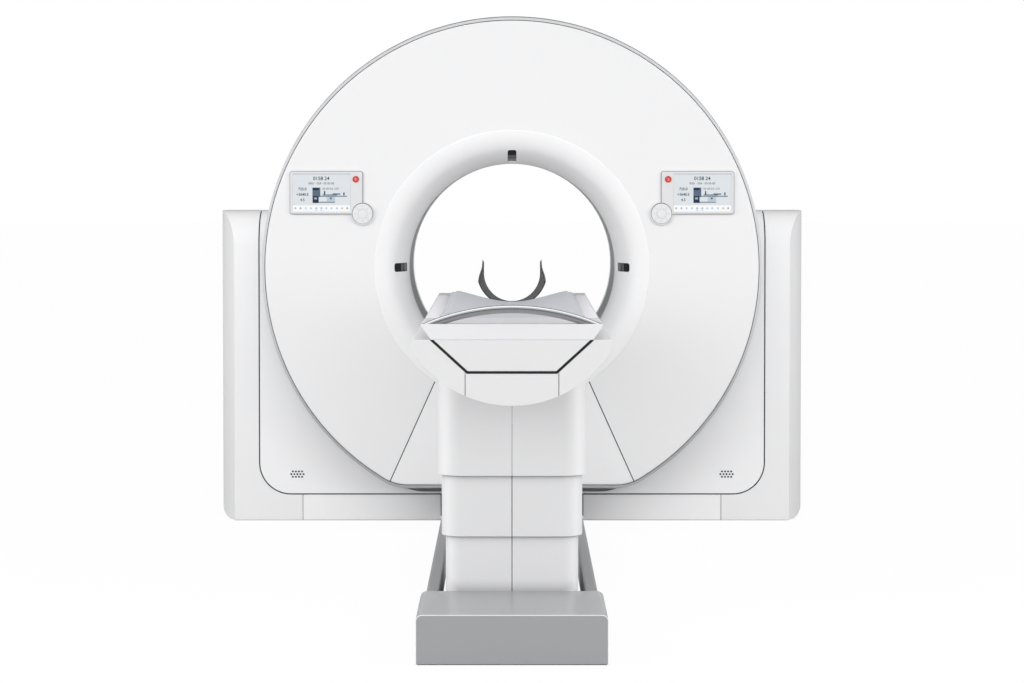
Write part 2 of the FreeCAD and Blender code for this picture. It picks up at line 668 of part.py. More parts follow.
def make_frame():
    half = SILL / 2
    top = FOOT_T + SILL
    frame = square_tube_x(SILL_FRONT_Y).fuse(square_tube_x(SILL_REAR_Y))
    for x in (-SILL_HALF_X + half, 0, SILL_HALF_X - half):
        tie = box(x - half, x + half, SILL_FRONT_Y + half, SILL_REAR_Y - half, FOOT_T, top)
        core = box(
            x - half + SILL_WALL,
            x + half - SILL_WALL,
            SILL_FRONT_Y + half,
            SILL_REAR_Y - half,
            FOOT_T + SILL_WALL,
            top - SILL_WALL,
        )
        frame = frame.fuse(tie.cut(core))
    foot_end = SILL_HALF_X + FOOT_REACH
    for y in (SILL_FRONT_Y, SILL_REAR_Y):
        foot = box(-foot_end, -SILL_HALF_X + SILL, y - FOOT_W / 2, y + FOOT_W / 2, 0, FOOT_T)
        hole = V(-SILL_HALF_X - FOOT_REACH / 2, y, -1)
        foot = foot.cut(Part.makeCylinder(ANCHOR_HOLE_R, FOOT_T + 2, hole, V(0, 0, 1)))
        frame = frame.fuse(foot).fuse(mirrored(foot))
    frame = frame.fuse(box(-FOOT_W / 2, FOOT_W / 2, -FOOT_W / 2, FOOT_W / 2, 0, FOOT_T))
    keep("gantry_base_frame", frame)

    back_y = STATOR_Y + STATOR_T
    stator = barrel(STATOR_R, STATOR_Y, back_y)
    leg_x = STATOR_R * LEG_TOP_SHARE
    leg_z = ISO_Z - math.sqrt(STATOR_R**2 - leg_x**2)
    legs = rounded(
        [
            (-STATOR_FOOT_X, top, 0),
            (STATOR_FOOT_X, top, 0),
            (leg_x, leg_z, 0),
            (-leg_x, leg_z, 0),
        ],
        front_at(STATOR_Y),
    )
    stator = stator.fuse(along_y(legs, STATOR_Y, back_y))
    lug_end = barrel(BAND_R - BAND_WALL - SEAT, STATOR_Y, back_y)
    lugs = box(-LUG_W / 2, LUG_W / 2, STATOR_Y, back_y, ISO_Z + STATOR_R - 20, ISO_Z + BAND_R)
    side_lugs = box(-BAND_R, BAND_R, STATOR_Y, back_y, ISO_Z - LUG_W / 2, ISO_Z + LUG_W / 2)
    stator = stator.fuse(lugs.fuse(side_lugs).common(lug_end))
    stator = stator.cut(barrel(STATOR_BORE_R, STATOR_Y, back_y))
    front = SILL_FRONT_Y - half
    flange = box(-STATOR_FOOT_X, STATOR_FOOT_X, front, SILL_REAR_Y + half, top, top + STATOR_FOOT_T)
    pit_front = SILL_FRONT_Y + half
    flange = flange.cut(box(-GUSSET_X + 40, GUSSET_X - 40, pit_front, STATOR_Y - 20, top, top + STATOR_FOOT_T))
    stator = stator.fuse(flange)
    gusset_top = ISO_Z - math.sqrt(ROTOR_R**2 - GUSSET_X**2) - GUSSET_CLEAR
    gusset = path(
        (front, top + STATOR_FOOT_T),
        [
            (STATOR_Y, top + STATOR_FOOT_T),
            (STATOR_Y, gusset_top),
            (STATOR_Y - SILL / 2, gusset_top),
            (front, top + STATOR_FOOT_T + GUSSET_TOE_H),
        ],
        side_at(-GUSSET_X),
    )
    gusset = Part.Face(gusset).extrude(V(GUSSET_T, 0, 0))
    keep("stator_frame", stator.fuse(gusset).fuse(mirrored(gusset)))

    race_y = BEARING_FRONT_Y + BEARING_W
    split = BEARING_SPLIT_R + BEARING_GAP / 2
    seat_r = STATOR_BORE_R - SEAT
    outer = [(split, BEARING_FRONT_Y), (seat_r, BEARING_FRONT_Y), (seat_r, race_y), (split, race_y)]
    keep("bearing_outer_ring", turned(outer))
    hub_r = ROTOR_BORE_R + ROTOR_HUB_WALL
    inner_split = BEARING_SPLIT_R - BEARING_GAP / 2
    inner_front = ROTOR_PLATE_Y + ROTOR_PLATE_T
    inner = [(hub_r, inner_front), (inner_split, inner_front), (inner_split, race_y), (hub_r, race_y)]
    keep("bearing_inner_ring", turned(inner))

    coil_r = ROTOR_R + COIL_GAP
    coil_end = coil_r + COIL_T
    coil = turned([(coil_r, ROTOR_PLATE_Y), (coil_end, ROTOR_PLATE_Y), (coil_end, STATOR_Y), (coil_r, STATOR_Y)])
    wedge_x = 2 * ROTOR_R * math.cos(math.radians(COIL_SWEEP / 2))
    wedge_z = 2 * ROTOR_R * math.sin(math.radians(COIL_SWEEP / 2))
    wedge = rounded([(0, ISO_Z, 0), (wedge_x, ISO_Z + wedge_z, 0), (wedge_x, ISO_Z - wedge_z, 0)], front_at(0))
    coil = coil.common(along_y(wedge, 0, STATOR_Y))
    keep("drive_coils", Part.makeCompound([coil, mirrored(coil)]))

    brush_front = ROTOR_HUB_END_Y + 4
    brush_back = ROTOR_HUB_END_Y + SLIP_RING_LENGTH - 4
    brush_r = SLIP_RING_R + BRUSH_GAP
    half_w = BRUSH_W / 2
    low = ISO_Z - STATOR_BORE_R
    block = box(-half_w, half_w, brush_front, brush_back, low, ISO_Z - ROTOR_BORE_R)
    foot = box(-half_w, half_w, back_y, brush_front, low - BRUSH_W, low - SEAT - 4)
    arm = box(-half_w, half_w, brush_front, brush_back, low - BRUSH_W, low)
    block = block.fuse(arm).fuse(foot).cut(barrel(brush_r, brush_front, brush_back))
    keep("brush_block", block)


# ---------------------------------------------------------------- rotor


def make_rotor():
    plate_back = ROTOR_PLATE_Y + ROTOR_PLATE_T
    hub_r = ROTOR_BORE_R + ROTOR_HUB_WALL
    section = [
        (ROTOR_BORE_R, ROTOR_PLATE_Y),
        (ROTOR_R - ROTOR_FLANGE_T, ROTOR_PLATE_Y),
        (ROTOR_R - ROTOR_FLANGE_T, ROTOR_FLANGE_Y),
        (ROTOR_R, ROTOR_FLANGE_Y),
        (ROTOR_R, plate_back),
        (hub_r, plate_back),
        (hub_r, ROTOR_HUB_END_Y),
        (ROTOR_BORE_R, ROTOR_HUB_END_Y),
    ]
    drum = turned(section)
    for i in range(ROTOR_HOLES):
        turn = 2 * math.pi * (i + 0.5) / ROTOR_HOLES
        x = ROTOR_HOLE_PCD_R * math.cos(turn)
        z = ISO_Z + ROTOR_HOLE_PCD_R * math.sin(turn)
        hole = Part.makeCylinder(ROTOR_HOLE_R, ROTOR_PLATE_T, V(x, ROTOR_PLATE_Y, z), V(0, 1, 0))
        drum = drum.cut(hole)
    keep("rotor_drum", drum)

    ring_end = ROTOR_HUB_END_Y + SLIP_RING_LENGTH
    ring = [(hub_r, ROTOR_HUB_END_Y), (SLIP_RING_R, ROTOR_HUB_END_Y), (SLIP_RING_R, ring_end), (hub_r, ring_end)]
    keep("slip_ring", turned(ring))

    front = TUBE_FRONT_Y
    neck = TUBE_R * 0.72
    profile = [
        (0, front),
        (neck, front),
        (neck, front + 40),
        (TUBE_R, front + 60),
        (TUBE_R, ROTOR_PLATE_Y),
        (0, ROTOR_PLATE_Y),
    ]
    tube_z = ISO_Z + FOCUS_R + TUBE_R * TUBE_DROP
    points = [V(0, y, tube_z + r) for r, y in profile]
    tube = Part.Face(Part.makePolygon(points + points[:1])).revolve(V(0, 0, tube_z), V(0, 1, 0), 360)
    keep("xray_tube", tube)

    top = tube_z - TUBE_R - SEAT
    low = ISO_Z + ROTOR_BORE_R + COLLIMATOR_GAP
    head = COLLIMATOR_HEAD_HALF_W
    foot = COLLIMATOR_FOOT_HALF_W
    wall = COLLIMATOR_WALL
    front = -COLLIMATOR_HALF_Y
    flare = rounded([(-head, top, 0), (head, top, 0), (foot, low, 0), (-foot, low, 0)], front_at(front))
    body = along_y(flare, front, ROTOR_PLATE_Y)
    head -= wall
    foot -= wall
    fan = rounded([(-head, top, 0), (head, top, 0), (foot, low, 0), (-foot, low, 0)], front_at(-FAN_HALF_Y))
    keep("collimator", body.cut(along_y(fan, -FAN_HALF_Y, FAN_HALF_Y)))

    focus_z = ISO_Z + FOCUS_R
    near = DETECTOR_FOCUS_R
    far = near + DETECTOR_T
    edge = math.radians(FAN_HALF_ANGLE)
    side = (near * math.sin(edge), focus_z - near * math.cos(edge))
    deep = (far * math.sin(edge), focus_z - far * math.cos(edge))
    arc = path(
        (-side[0], side[1]),
        [((0, focus_z - near), side), deep, ((0, focus_z - far), (-deep[0], deep[1]))],
        front_at(-DETECTOR_HALF_W),
    )
    keep("detector_array", along_y(arc, -DETECTOR_HALF_W, ROTOR_PLATE_Y))

    half_h = GENERATOR_H / 2
    corner = 20
    outline = rounded(
        [
            (GENERATOR_X, ISO_Z - half_h, corner),
            (GENERATOR_X + GENERATOR_W, ISO_Z - half_h, corner),
            (GENERATOR_X + GENERATOR_W, ISO_Z + half_h, corner),
            (GENERATOR_X, ISO_Z + half_h, corner),
        ],
        front_at(GENERATOR_FRONT_Y),
    )
    generator = along_y(outline, GENERATOR_FRONT_Y, ROTOR_PLATE_Y)
    keep("hv_generator", generator)


# ---------------------------------------------------------------- displays and controls


def disc_at(x, z, radius, y0, y1):
    """A round post along Y."""
    return Part.makeCylinder(radius, y1 - y0, V(x, y0, z), V(0, 1, 0))


def make_displays():
    front = -FACE_Y - DISPLAY_T
    x0 = -DISPLAY_X - DISPLAY_W / 2
    x1 = -DISPLAY_X + DISPLAY_W / 2
    z0 = DISPLAY_Z - DISPLAY_H / 2
    z1 = DISPLAY_Z + DISPLAY_H / 2
    corners = [(x0, z0, DISPLAY_R), (x1, z0, DISPLAY_R), (x1, z1, DISPLAY_R), (x0, z1, DISPLAY_R)]
    body = along_y(rounded(corners, front_at(front)), front, -FACE_Y)
    body = body.fuse(disc_at(-DIAL_X, DIAL_Z, DIAL_BEZEL_R, front, -FACE_Y))
    screen_x = -DISPLAY_X - SCREEN_OFFSET
    half_w = SCREEN_W / 2
    half_h = SCREEN_H / 2
    pocket = box(
        screen_x - half_w - SEAT,
        screen_x + half_w + SEAT,
        front,
        front + SCREEN_T + SEAT,
        DISPLAY_Z - half_h - SEAT,
        DISPLAY_Z + half_h + SEAT,
    )
    body = body.cut(pocket)
    well = -FACE_Y - BUTTON_WALL
    body = body.cut(disc_at(-STOP_X, STOP_Z, STOP_R + BUTTON_GAP, front, well))
    body = body.cut(disc_at(-DIAL_X, DIAL_Z, DIAL_PAD_R + BUTTON_GAP, front, well))
    keep_pair("display_housing", body)
    screen_y = front + SEAT
    screen = box(
        screen_x - half_w,
        screen_x + half_w,
        screen_y,
        screen_y + SCREEN_T,
        DISPLAY_Z - half_h,
        DISPLAY_Z + half_h,
    )
    keep_pair("screen", screen)
    stop = disc_at(-STOP_X, STOP_Z, STOP_R, front - BUTTON_PROUD, well - STOP_TRAVEL - SEAT)
    keep_pair("stop_button", stop)
    pad_back = well - DIAL_TRAVEL - SEAT
    pad = disc_at(-DIAL_X, DIAL_Z, DIAL_PAD_R, front - BUTTON_PROUD, pad_back)
    pad = pad.cut(disc_at(-DIAL_X, DIAL_Z, DIAL_BUTTON_R + BUTTON_GAP, front - BUTTON_PROUD, pad_back))
    keep_pair("dial_pad", pad)
    centre = disc_at(-DIAL_X, DIAL_Z, DIAL_BUTTON_R, front - BUTTON_PROUD, pad_back)
    keep_pair("dial_button", centre)


# ---------------------------------------------------------------- table base and pedestal


def tier_wire(half_w, half_l, z):
    """The plan of a pedestal tier."""
    radius = TIER_CORNER_R + half_w - TIER_HALF_WIDTH
    corners = [
        (-half_w, TABLE_Y - half_l, radius),
        (half_w, TABLE_Y - half_l, radius),
        (half_w, TABLE_Y + half_l, radius),
        (-half_w, TABLE_Y + half_l, radius),
    ]
    return rounded(corners, plan_at(z))


def tier_block(grow, z0, z1):
    """A block of the fixed tier's plan, grown all round."""
    return Part.Face(tier_wire(TIER_HALF_WIDTH + grow, TIER_HALF_LENGTH + grow, z0)).extrude(V(0, 0, z1 - z0))


def tier(grow, z0, z1):
    """Two half shells of a pedestal tier, with a joint at X = 0."""
    shell = tier_block(grow, z0, z1).cut(tier_block(grow - TIER_WALL, z0, z1))
    reach = TIER_HALF_LENGTH + grow + 1
    half = TIER_SEAM / 2
    return shell.cut(box(-half, half, TABLE_Y - reach, TABLE_Y + reach, z0, z1))


def column(inset, z0, z1):
    """One stage of the lift column, a rectangular tube drawn in from the outer one."""
    half_w = COLUMN_HALF_WIDTH - inset
    half_l = COLUMN_HALF_LENGTH - inset
    outer = box(-half_w, half_w, TABLE_Y - half_l, TABLE_Y + half_l, z0, z1)
    core_w = half_w - COLUMN_WALL
    core_l = half_l - COLUMN_WALL
    return outer.cut(box(-core_w, core_w, TABLE_Y - core_l, TABLE_Y + core_l, z0, z1))


def make_table_base():
    back = TABLE_Y - TIER_HALF_LENGTH - SEAM
    corners = [
        (-BASE_HALF_W, FLOOR_GAP, 0),
        (BASE_HALF_W, FLOOR_GAP, 0),
        (BASE_HALF_W, BASE_H, BASE_TOP_R),
        (-BASE_HALF_W, BASE_H, BASE_TOP_R),
    ]
    cover = along_y(rounded(corners, front_at(BASE_FRONT_Y)), BASE_FRONT_Y, back)
    inner_w = BASE_HALF_W - BASE_WALL
    inner_r = BASE_TOP_R - BASE_WALL
    hollow = [
        (-inner_w, 0, 0),
        (inner_w, 0, 0),
        (inner_w, BASE_H - BASE_WALL, inner_r),
        (-inner_w, BASE_H - BASE_WALL, inner_r),
    ]
    inner_front = BASE_FRONT_Y + BASE_WALL
    cover = cover.cut(along_y(rounded(hollow, front_at(inner_front)), inner_front, back))
    keep("table_base_cover", cover)

    plate = tier_block(0, 0, BASE_PLATE_T)
    plate = plate.fuse(box(-inner_w + SEAT, inner_w - SEAT, inner_front + SEAT, back, 0, BASE_PLATE_T))
    neck_w = TIER_HALF_WIDTH - TIER_CORNER_R
    plate = plate.fuse(box(-neck_w, neck_w, back, TABLE_Y, 0, BASE_PLATE_T))
    for x in (-TABLE_ANCHOR_X, TABLE_ANCHOR_X):
        for side in (-1, 1):
            start = V(x, TABLE_ANCHOR_Y + side * TABLE_ANCHOR_SPACING_Y / 2, -1)
            plate = plate.cut(Part.makeCylinder(TABLE_ANCHOR_R, BASE_PLATE_T + 2, start, V(0, 0, 1)))
    keep("table_base_plate", plate)

    beam_front = back + SEAT
    beam_back = SILL_FRONT_Y - SILL / 2 - SEAT
    x0 = -BEAM_X - BEAM_W / 2
    x1 = -BEAM_X + BEAM_W / 2
    outer = [(x0, 0, 0), (x1, 0, 0), (x1, BEAM_H, BEAM_TOP_R), (x0, BEAM_H, BEAM_TOP_R)]
    wall = BEAM_WALL
    inner = [
        (x0 + wall, 0, 0),
        (x1 - wall, 0, 0),
        (x1 - wall, BEAM_H - wall, BEAM_TOP_R - wall),
        (x0 + wall, BEAM_H - wall, BEAM_TOP_R - wall),
    ]
    beam = along_y(rounded(outer, front_at(beam_front)), beam_front, beam_back)
    beam = beam.cut(along_y(rounded(inner, front_at(beam_front)), beam_front, beam_back - wall))
    keep_pair("floor_beam", beam)

    keep("fixed_tier", tier(0, BASE_PLATE_T, FIXED_TIER_TOP_Z))
    keep("lift_column_outer", column(0, BASE_PLATE_T, COLUMN_TOP_Z))


def make_lift():
    keep("middle_tier", tier(TIER_STEP, MID_TIER_BOTTOM_Z, MID_TIER_TOP_Z))
    inset = COLUMN_WALL + SLIDE_GAP
    middle = column(inset, MID_COLUMN_BOTTOM_Z, MID_COLUMN_TOP_Z)
    carrier_top = MID_COLUMN_TOP_Z + MID_CARRIER_T
    carrier = tier_block(TIER_STEP - TIER_WALL - SEAT, MID_COLUMN_TOP_Z, carrier_top)
    hole_w = COLUMN_HALF_WIDTH - inset - COLUMN_WALL
    hole_l = COLUMN_HALF_LENGTH - inset - COLUMN_WALL
    hole = box(-hole_w, hole_w, TABLE_Y - hole_l, TABLE_Y + hole_l, MID_COLUMN_TOP_Z, carrier_top)
    keep("lift_column_middle", middle.fuse(carrier.cut(hole)))

    top = tier(2 * TIER_STEP, TOP_TIER_BOTTOM_Z, BOWL_CENTRE_Z - BOWL_R / 2)
    bowl = Part.makeCylinder(BOWL_R + SEAT, BOWL_BACK_Y - BOWL_FRONT_Y, V(0, BOWL_FRONT_Y, BOWL_CENTRE_Z), V(0, 1, 0))
    keep("top_tier", top.cut(bowl))
    keep("lift_column_top", column(2 * inset, TOP_COLUMN_BOTTOM_Z, BEAM_CORE_TOP_Z - BEAM_CORE_H - SEAT))


# ---------------------------------------------------------------- table housing


def bowl_wire(inset, y):
    """The front view of the table housing: flat top, short straight sides and a round belly."""
    half = BOWL_HALF_W - inset
    radius = BOWL_R - inset
    shoulder = BOWL_CENTRE_Z - math.sqrt(radius**2 - half**2)
    top = BOWL_TOP_Z - inset
    belly = BOWL_CENTRE_Z - radius
    return path((-half, shoulder), [((0, belly), (half, shoulder)), (half, top), (-half, top)], front_at(y))


def channel_wire(grow, top_z, y):
    """The V-shaped channel in the housing, grown outwards from the middle of the dark joint."""
    slope = math.tan(math.radians(CHANNEL_ANGLE))
    low_x = CHANNEL_HALF_W + grow * math.tan(math.radians(CHANNEL_ANGLE / 2))
    low_z = CHANNEL_Z - grow
    top_x = low_x + (top_z - low_z) / slope
    radius = CHANNEL_R + grow
    corners = [(-low_x, low_z, radius), (low_x, low_z, radius), (top_x, top_z, 0), (-top_x, top_z, 0)]
    return rounded(corners, front_at(y))


def make_table_housing():
    front = BOWL_FRONT_Y + FRONT_PANEL_T + SEAT
    back = BOWL_BACK_Y
    open_top = BOWL_TOP_Z + 20
    gap = CHANNEL_GAP / 2
    body = along_y(bowl_wire(0, front), front, back)
    hollow = along_y(bowl_wire(COVER_WALL, front), front, back - COVER_WALL)
    hollow = hollow.cut(along_y(channel_wire(gap + COVER_WALL, open_top, front), front, back))
    body = body.cut(hollow).cut(along_y(channel_wire(gap, open_top, front), front, back))
    column_w = COLUMN_HALF_WIDTH - 2 * (COLUMN_WALL + SLIDE_GAP) + SEAT
    column_l = COLUMN_HALF_LENGTH - 2 * (COLUMN_WALL + SLIDE_GAP) + SEAT
    low = BOWL_CENTRE_Z - BOWL_R - 5
    body = body.cut(box(-column_w, column_w, TABLE_Y - column_l, TABLE_Y + column_l, low, CHANNEL_Z - gap - COVER_WALL))
    keep("table_housing", body)

    face = along_y(bowl_wire(0, BOWL_FRONT_Y), BOWL_FRONT_Y, BOWL_FRONT_Y + FRONT_PANEL_T)
    channel = channel_wire(gap, open_top, BOWL_FRONT_Y)
    face = face.cut(along_y(channel, BOWL_FRONT_Y, BOWL_FRONT_Y + FRONT_PANEL_T))
    half = SEAM / 2
    for x in (-FRONT_PANEL_X, FRONT_PANEL_X):
        face = face.cut(box(x - half, x + half, BOWL_FRONT_Y, BOWL_FRONT_Y + FRONT_PANEL_T, 0, BOWL_TOP_Z))
    keep("housing_front_panels", face)

    half_w = BEAM_CORE_W / 2
    wall = COLUMN_WALL
    y0 = front + 60
    y1 = back - 60
    z0 = BEAM_CORE_TOP_Z - BEAM_CORE_H
    beam = box(-half_w, half_w, y0, y1, z0, BEAM_CORE_TOP_Z)
    core = box(-half_w + wall, half_w - wall, y0, y1, z0 + wall, BEAM_CORE_TOP_Z - wall)
    pads = box(-half_w, half_w, y0, y0 + 60, BEAM_CORE_TOP_Z, CHANNEL_Z - gap - COVER_WALL - SEAT)
    keep("table_chassis_beam", beam.cut(core).fuse(pads))


# ---------------------------------------------------------------- cradle


def bed_z(x):
    """Height of the cradle's hollow bed."""
    radius = (BED_HALF_W**2 + BED_DEPTH**2) / (2 * BED_DEPTH)
    return CRADLE_RAIL_Z - BED_DEPTH + radius - math.sqrt(radius**2 - x**2)


def cradle_section(y):
    """The cradle in front view: flat rails, a hollow bed, flared sides and a flat keel."""
    return path(
        (-CRADLE_HALF_W, CRADLE_RAIL_Z),
        [
            (-CRADLE_NECK_X, CRADLE_NECK_Z),
            (-CRADLE_KEEL_X, CRADLE_KEEL_Z),
            (CRADLE_KEEL_X, CRADLE_KEEL_Z),
            (CRADLE_NECK_X, CRADLE_NECK_Z),
            (CRADLE_HALF_W, CRADLE_RAIL_Z),
            (BED_HALF_W, CRADLE_RAIL_Z),
            ((0, bed_z(0)), (-BED_HALF_W, CRADLE_RAIL_Z)),
        ],
        front_at(y),
    )


def handle_bow():
    """The arch of the handle, as a thick bow of round tube."""
    axis = V(0, HANDLE_Y, HANDLE_TOP_Z - HANDLE_TUBE_R - HANDLE_R)
    ring = Part.Circle(axis + V(0, 0, HANDLE_R), V(1, 0, 0), HANDLE_TUBE_R)
    face = Part.Face(Part.Wire(ring.toShape()))
    face.rotate(axis, V(0, 1, 0), -HANDLE_HALF_ANGLE)
    return face.revolve(axis, V(0, 1, 0), 2 * HANDLE_HALF_ANGLE)


def make_cradle():
    shell = along_y(cradle_section(CRADLE_FRONT_Y), CRADLE_FRONT_Y, CRADLE_BACK_Y)
    keep("cradle_shell", shell)

    gap = CHANNEL_GAP / 2
    panel_back = BOWL_FRONT_Y + END_PANEL_T
    panel = along_y(channel_wire(-gap, BOWL_TOP_Z, BOWL_FRONT_Y), BOWL_FRONT_Y, panel_back)
    keep("cradle_end_panel", panel)

    foot_z = BOWL_TOP_Z + SEAT
    outline = rounded(
        [
            (-CAP_FOOT_X, foot_z, 0),
            (CAP_FOOT_X, foot_z, 0),
            (CAP_LIP_X, CAP_LIP_Z, 0),
            (CAP_LIP_X - 4, CAP_TOP_Z, 0),
            (-CAP_LIP_X + 4, CAP_TOP_Z, 0),
            (-CAP_LIP_X, CAP_LIP_Z, 0),
        ],
        front_at(BOWL_FRONT_Y),
    )
    cap = along_y(outline, BOWL_FRONT_Y, CAP_BACK_Y)
    lean = path(
        (BOWL_FRONT_Y - 1, foot_z),
        [(BOWL_FRONT_Y, foot_z), (BOWL_FRONT_Y + CAP_LEAN, CAP_TOP_Z), (BOWL_FRONT_Y - 1, CAP_TOP_Z)],
        side_at(-CAP_LIP_X),
    )
    cap = cap.cut(Part.Face(lean).extrude(V(2 * CAP_LIP_X, 0, 0)))
    room = along_y(cradle_section(CRADLE_FRONT_Y - SEAT), CRADLE_FRONT_Y - SEAT, CAP_BACK_Y)
    under = box(-CAP_LIP_X, CAP_LIP_X, CRADLE_FRONT_Y - SEAT, CAP_BACK_Y, foot_z - 50, bed_z(0))
    keep("cradle_foot_cap", cap.cut(room).cut(under))
    above = box(-CAP_LIP_X, CAP_LIP_X, HANDLE_Y - 50, HANDLE_Y + 50, CAP_TOP_Z, HANDLE_TOP_Z + 1)
    keep("cradle_handle", handle_bow().common(above))

    runners = []
    for x in (-RUNNER_X, RUNNER_X):
        runners.append(
            box(
                x - RUNNER_W / 2,
                x + RUNNER_W / 2,
                RUNNER_FRONT_Y,
                RUNNER_BACK_Y,
                CHANNEL_Z - gap + SLIDE_GAP,
                CRADLE_KEEL_Z,
            )
        )
    keep("cradle_runners", Part.makeCompound(runners))

    y0 = CAP_BACK_Y + SEAT
    at = front_at(y0)
    low = [(x, bed_z(x) + SEAT) for x in (-MAT_HALF_W, 0, MAT_HALF_W)]
    lean = math.radians(MAT_SLOPE)
    valley_r = (MAT_CENTRE_Z - MAT_PEAK_Z + MAT_PEAK_X * math.tan(lean)) / (1 / math.cos(lean) - 1)
    run = valley_r * math.sin(lean)
    shoulder = (run, MAT_CENTRE_Z + valley_r * (1 - math.cos(lean)))
    peak = (MAT_PEAK_X, MAT_PEAK_Z)
    outer = (MAT_HALF_W - 3, MAT_PEAK_Z - 7)
    crest = ((MAT_PEAK_X + outer[0]) / 2 + 1, MAT_PEAK_Z - 1)
    steps = [
        (low[1], low[2]),
        outer,
        (crest, peak),
        shoulder,
        ((0, MAT_CENTRE_Z), (-shoulder[0], shoulder[1])),
        (-peak[0], peak[1]),
        ((-crest[0], crest[1]), (-outer[0], outer[1])),
    ]
    keep("cradle_mat", along_y(path(low[0], steps, at), y0, CRADLE_BACK_Y))


# ---------------------------------------------------------------- headrest


def trough_form(inset):
    """The trough as a full body: half a leaning cone below, upright sides above its middle."""
    near = V(0, HEADREST_FRONT_Y, HEADREST_BOTTOM_Z + HEADREST_NEAR_R)
    far = V(0, HEADREST_BACK_Y, HEADREST_BOTTOM_Z + HEADREST_FAR_R)
    axis = far - near
    over = 0.1  # the cone runs past both ends and is trimmed upright
    taper = over * (HEADREST_NEAR_R - HEADREST_FAR_R)
    near_r = HEADREST_NEAR_R - inset + taper
    far_r = HEADREST_FAR_R - inset - taper
    start = near - axis * over
    end = far + axis * over
    cone = Part.makeCone(near_r, far_r, axis.Length * (1 + 2 * over), start, axis)
    corners = [
        V(-near_r, start.y, start.z),
        V(near_r, start.y, start.z),
        V(far_r, end.y, end.z),
        V(-far_r, end.y, end.z),
    ]
    middle = Part.Face(Part.makePolygon(corners + corners[:1]))
    sides = middle.extrude(V(0, 0, 2 * HEADREST_NEAR_R))
    return cone.cut(sides).fuse(sides).removeSplitter()


def trough(inset, wall, drop):
    """A shell of the trough, its rim rising towards the far end and lowered by drop."""
    shell = trough_form(inset).cut(trough_form(inset + wall))
    reach = HEADREST_NEAR_R + 10
    side = path(
        (HEADREST_FRONT_Y, HEADREST_BOTTOM_Z - 20),
        [
            (HEADREST_BACK_Y, HEADREST_BOTTOM_Z - 20),
            (HEADREST_BACK_Y, HEADREST_TIP_Z - drop),
            (HEADREST_FRONT_Y, HEADREST_NEAR_Z - drop),
        ],
        side_at(-reach),
    )
    return shell.common(Part.Face(side).extrude(V(2 * reach, 0, 0)))


def make_headrest():
    keep("headrest_shell", trough(0, HEADREST_WALL, 0))
    keep("headrest_liner", trough(HEADREST_WALL + SEAT, LINER_T, LINER_DROP))

    flange_back = CRADLE_BACK_Y + SEAT + 10
    half_flange = BRACKET_FLANGE_W / 2
    half_arm = BRACKET_W / 2
    low = CRADLE_KEEL_Z + 5
    high = bed_z(0) - 3
    flange = box(-half_flange, half_flange, CRADLE_BACK_Y + SEAT, flange_back, low, high)
    arm_back = HEADREST_FRONT_Y + 0.7 * (HEADREST_BACK_Y - HEADREST_FRONT_Y)
    arm = box(-half_arm, half_arm, flange_back, arm_back, low + 5, HEADREST_BOTTOM_Z + 10)
    inside = trough_form(-SEAT)
    gap = box(-half_arm, half_arm, flange_back, HEADREST_FRONT_Y, high, HEADREST_BOTTOM_Z + 10)
    keep("headrest_bracket", flange.fuse(arm.cut(inside).cut(gap)))


# ---------------------------------------------------------------- build


def main():
    make_funnels()
    make_round_covers()
    make_housing()
    make_frame()
    make_rotor()
    make_displays()
    make_table_base()
    make_lift()
    make_table_housing()
    make_cradle()
    make_headrest()
    os.makedirs("parts", exist_ok=True)
    for name, shape in PARTS.items():
        shape.exportStep(os.path.join("parts", name + ".step"))


main()
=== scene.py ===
"""A computed tomography scanner dressed for the camera, from its base frame up to the mat on the cradle.

Metres, +Z up. The origin lies on the floor under the middle of the bore, and the patient table stands at -Y.
"""

import math

import bpy
import mathutils
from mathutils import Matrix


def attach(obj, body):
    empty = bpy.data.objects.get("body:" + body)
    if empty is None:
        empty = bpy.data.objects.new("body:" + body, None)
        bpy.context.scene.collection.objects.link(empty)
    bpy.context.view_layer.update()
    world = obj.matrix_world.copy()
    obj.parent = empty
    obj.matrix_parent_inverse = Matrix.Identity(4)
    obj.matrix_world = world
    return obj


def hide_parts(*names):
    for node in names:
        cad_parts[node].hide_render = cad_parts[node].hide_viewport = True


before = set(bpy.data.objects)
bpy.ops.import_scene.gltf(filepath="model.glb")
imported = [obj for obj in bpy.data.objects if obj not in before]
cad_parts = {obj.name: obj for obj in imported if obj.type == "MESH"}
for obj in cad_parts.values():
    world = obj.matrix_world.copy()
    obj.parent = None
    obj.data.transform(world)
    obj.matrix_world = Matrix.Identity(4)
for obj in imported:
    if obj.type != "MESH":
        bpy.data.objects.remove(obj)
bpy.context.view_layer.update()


# ---- Base frame and stator: a welded steel frame on the floor carries the fixed plate of the gantry, and a beam
# like it runs inside the table. They are powder coated dark grey, a thick paint with a fine orange peel.


def linear(hex_code):
    """An sRGB hex value as linear red, green, blue and alpha."""
    channels = [int(hex_code[i : i + 2], 16) / 255 for i in (1, 3, 5)]
    return [c / 12.92 if c <= 0.04045 else ((c + 0.055) / 1.055) ** 2.4 for c in channels] + [1.0]


def add_node(tree, kind, settings=(), values=(), links=()):
    """One shader node: its own settings, its sockets' values and the outputs that feed its sockets."""
    node = tree.nodes.new(kind)
    for name, value in dict(settings).items():
        setattr(node, name, value)
    for name, value in dict(values).items():
        node.inputs[name].default_value = value
    for name, source in dict(links).items():
        tree.links.new(source, node.inputs[name])
    return node


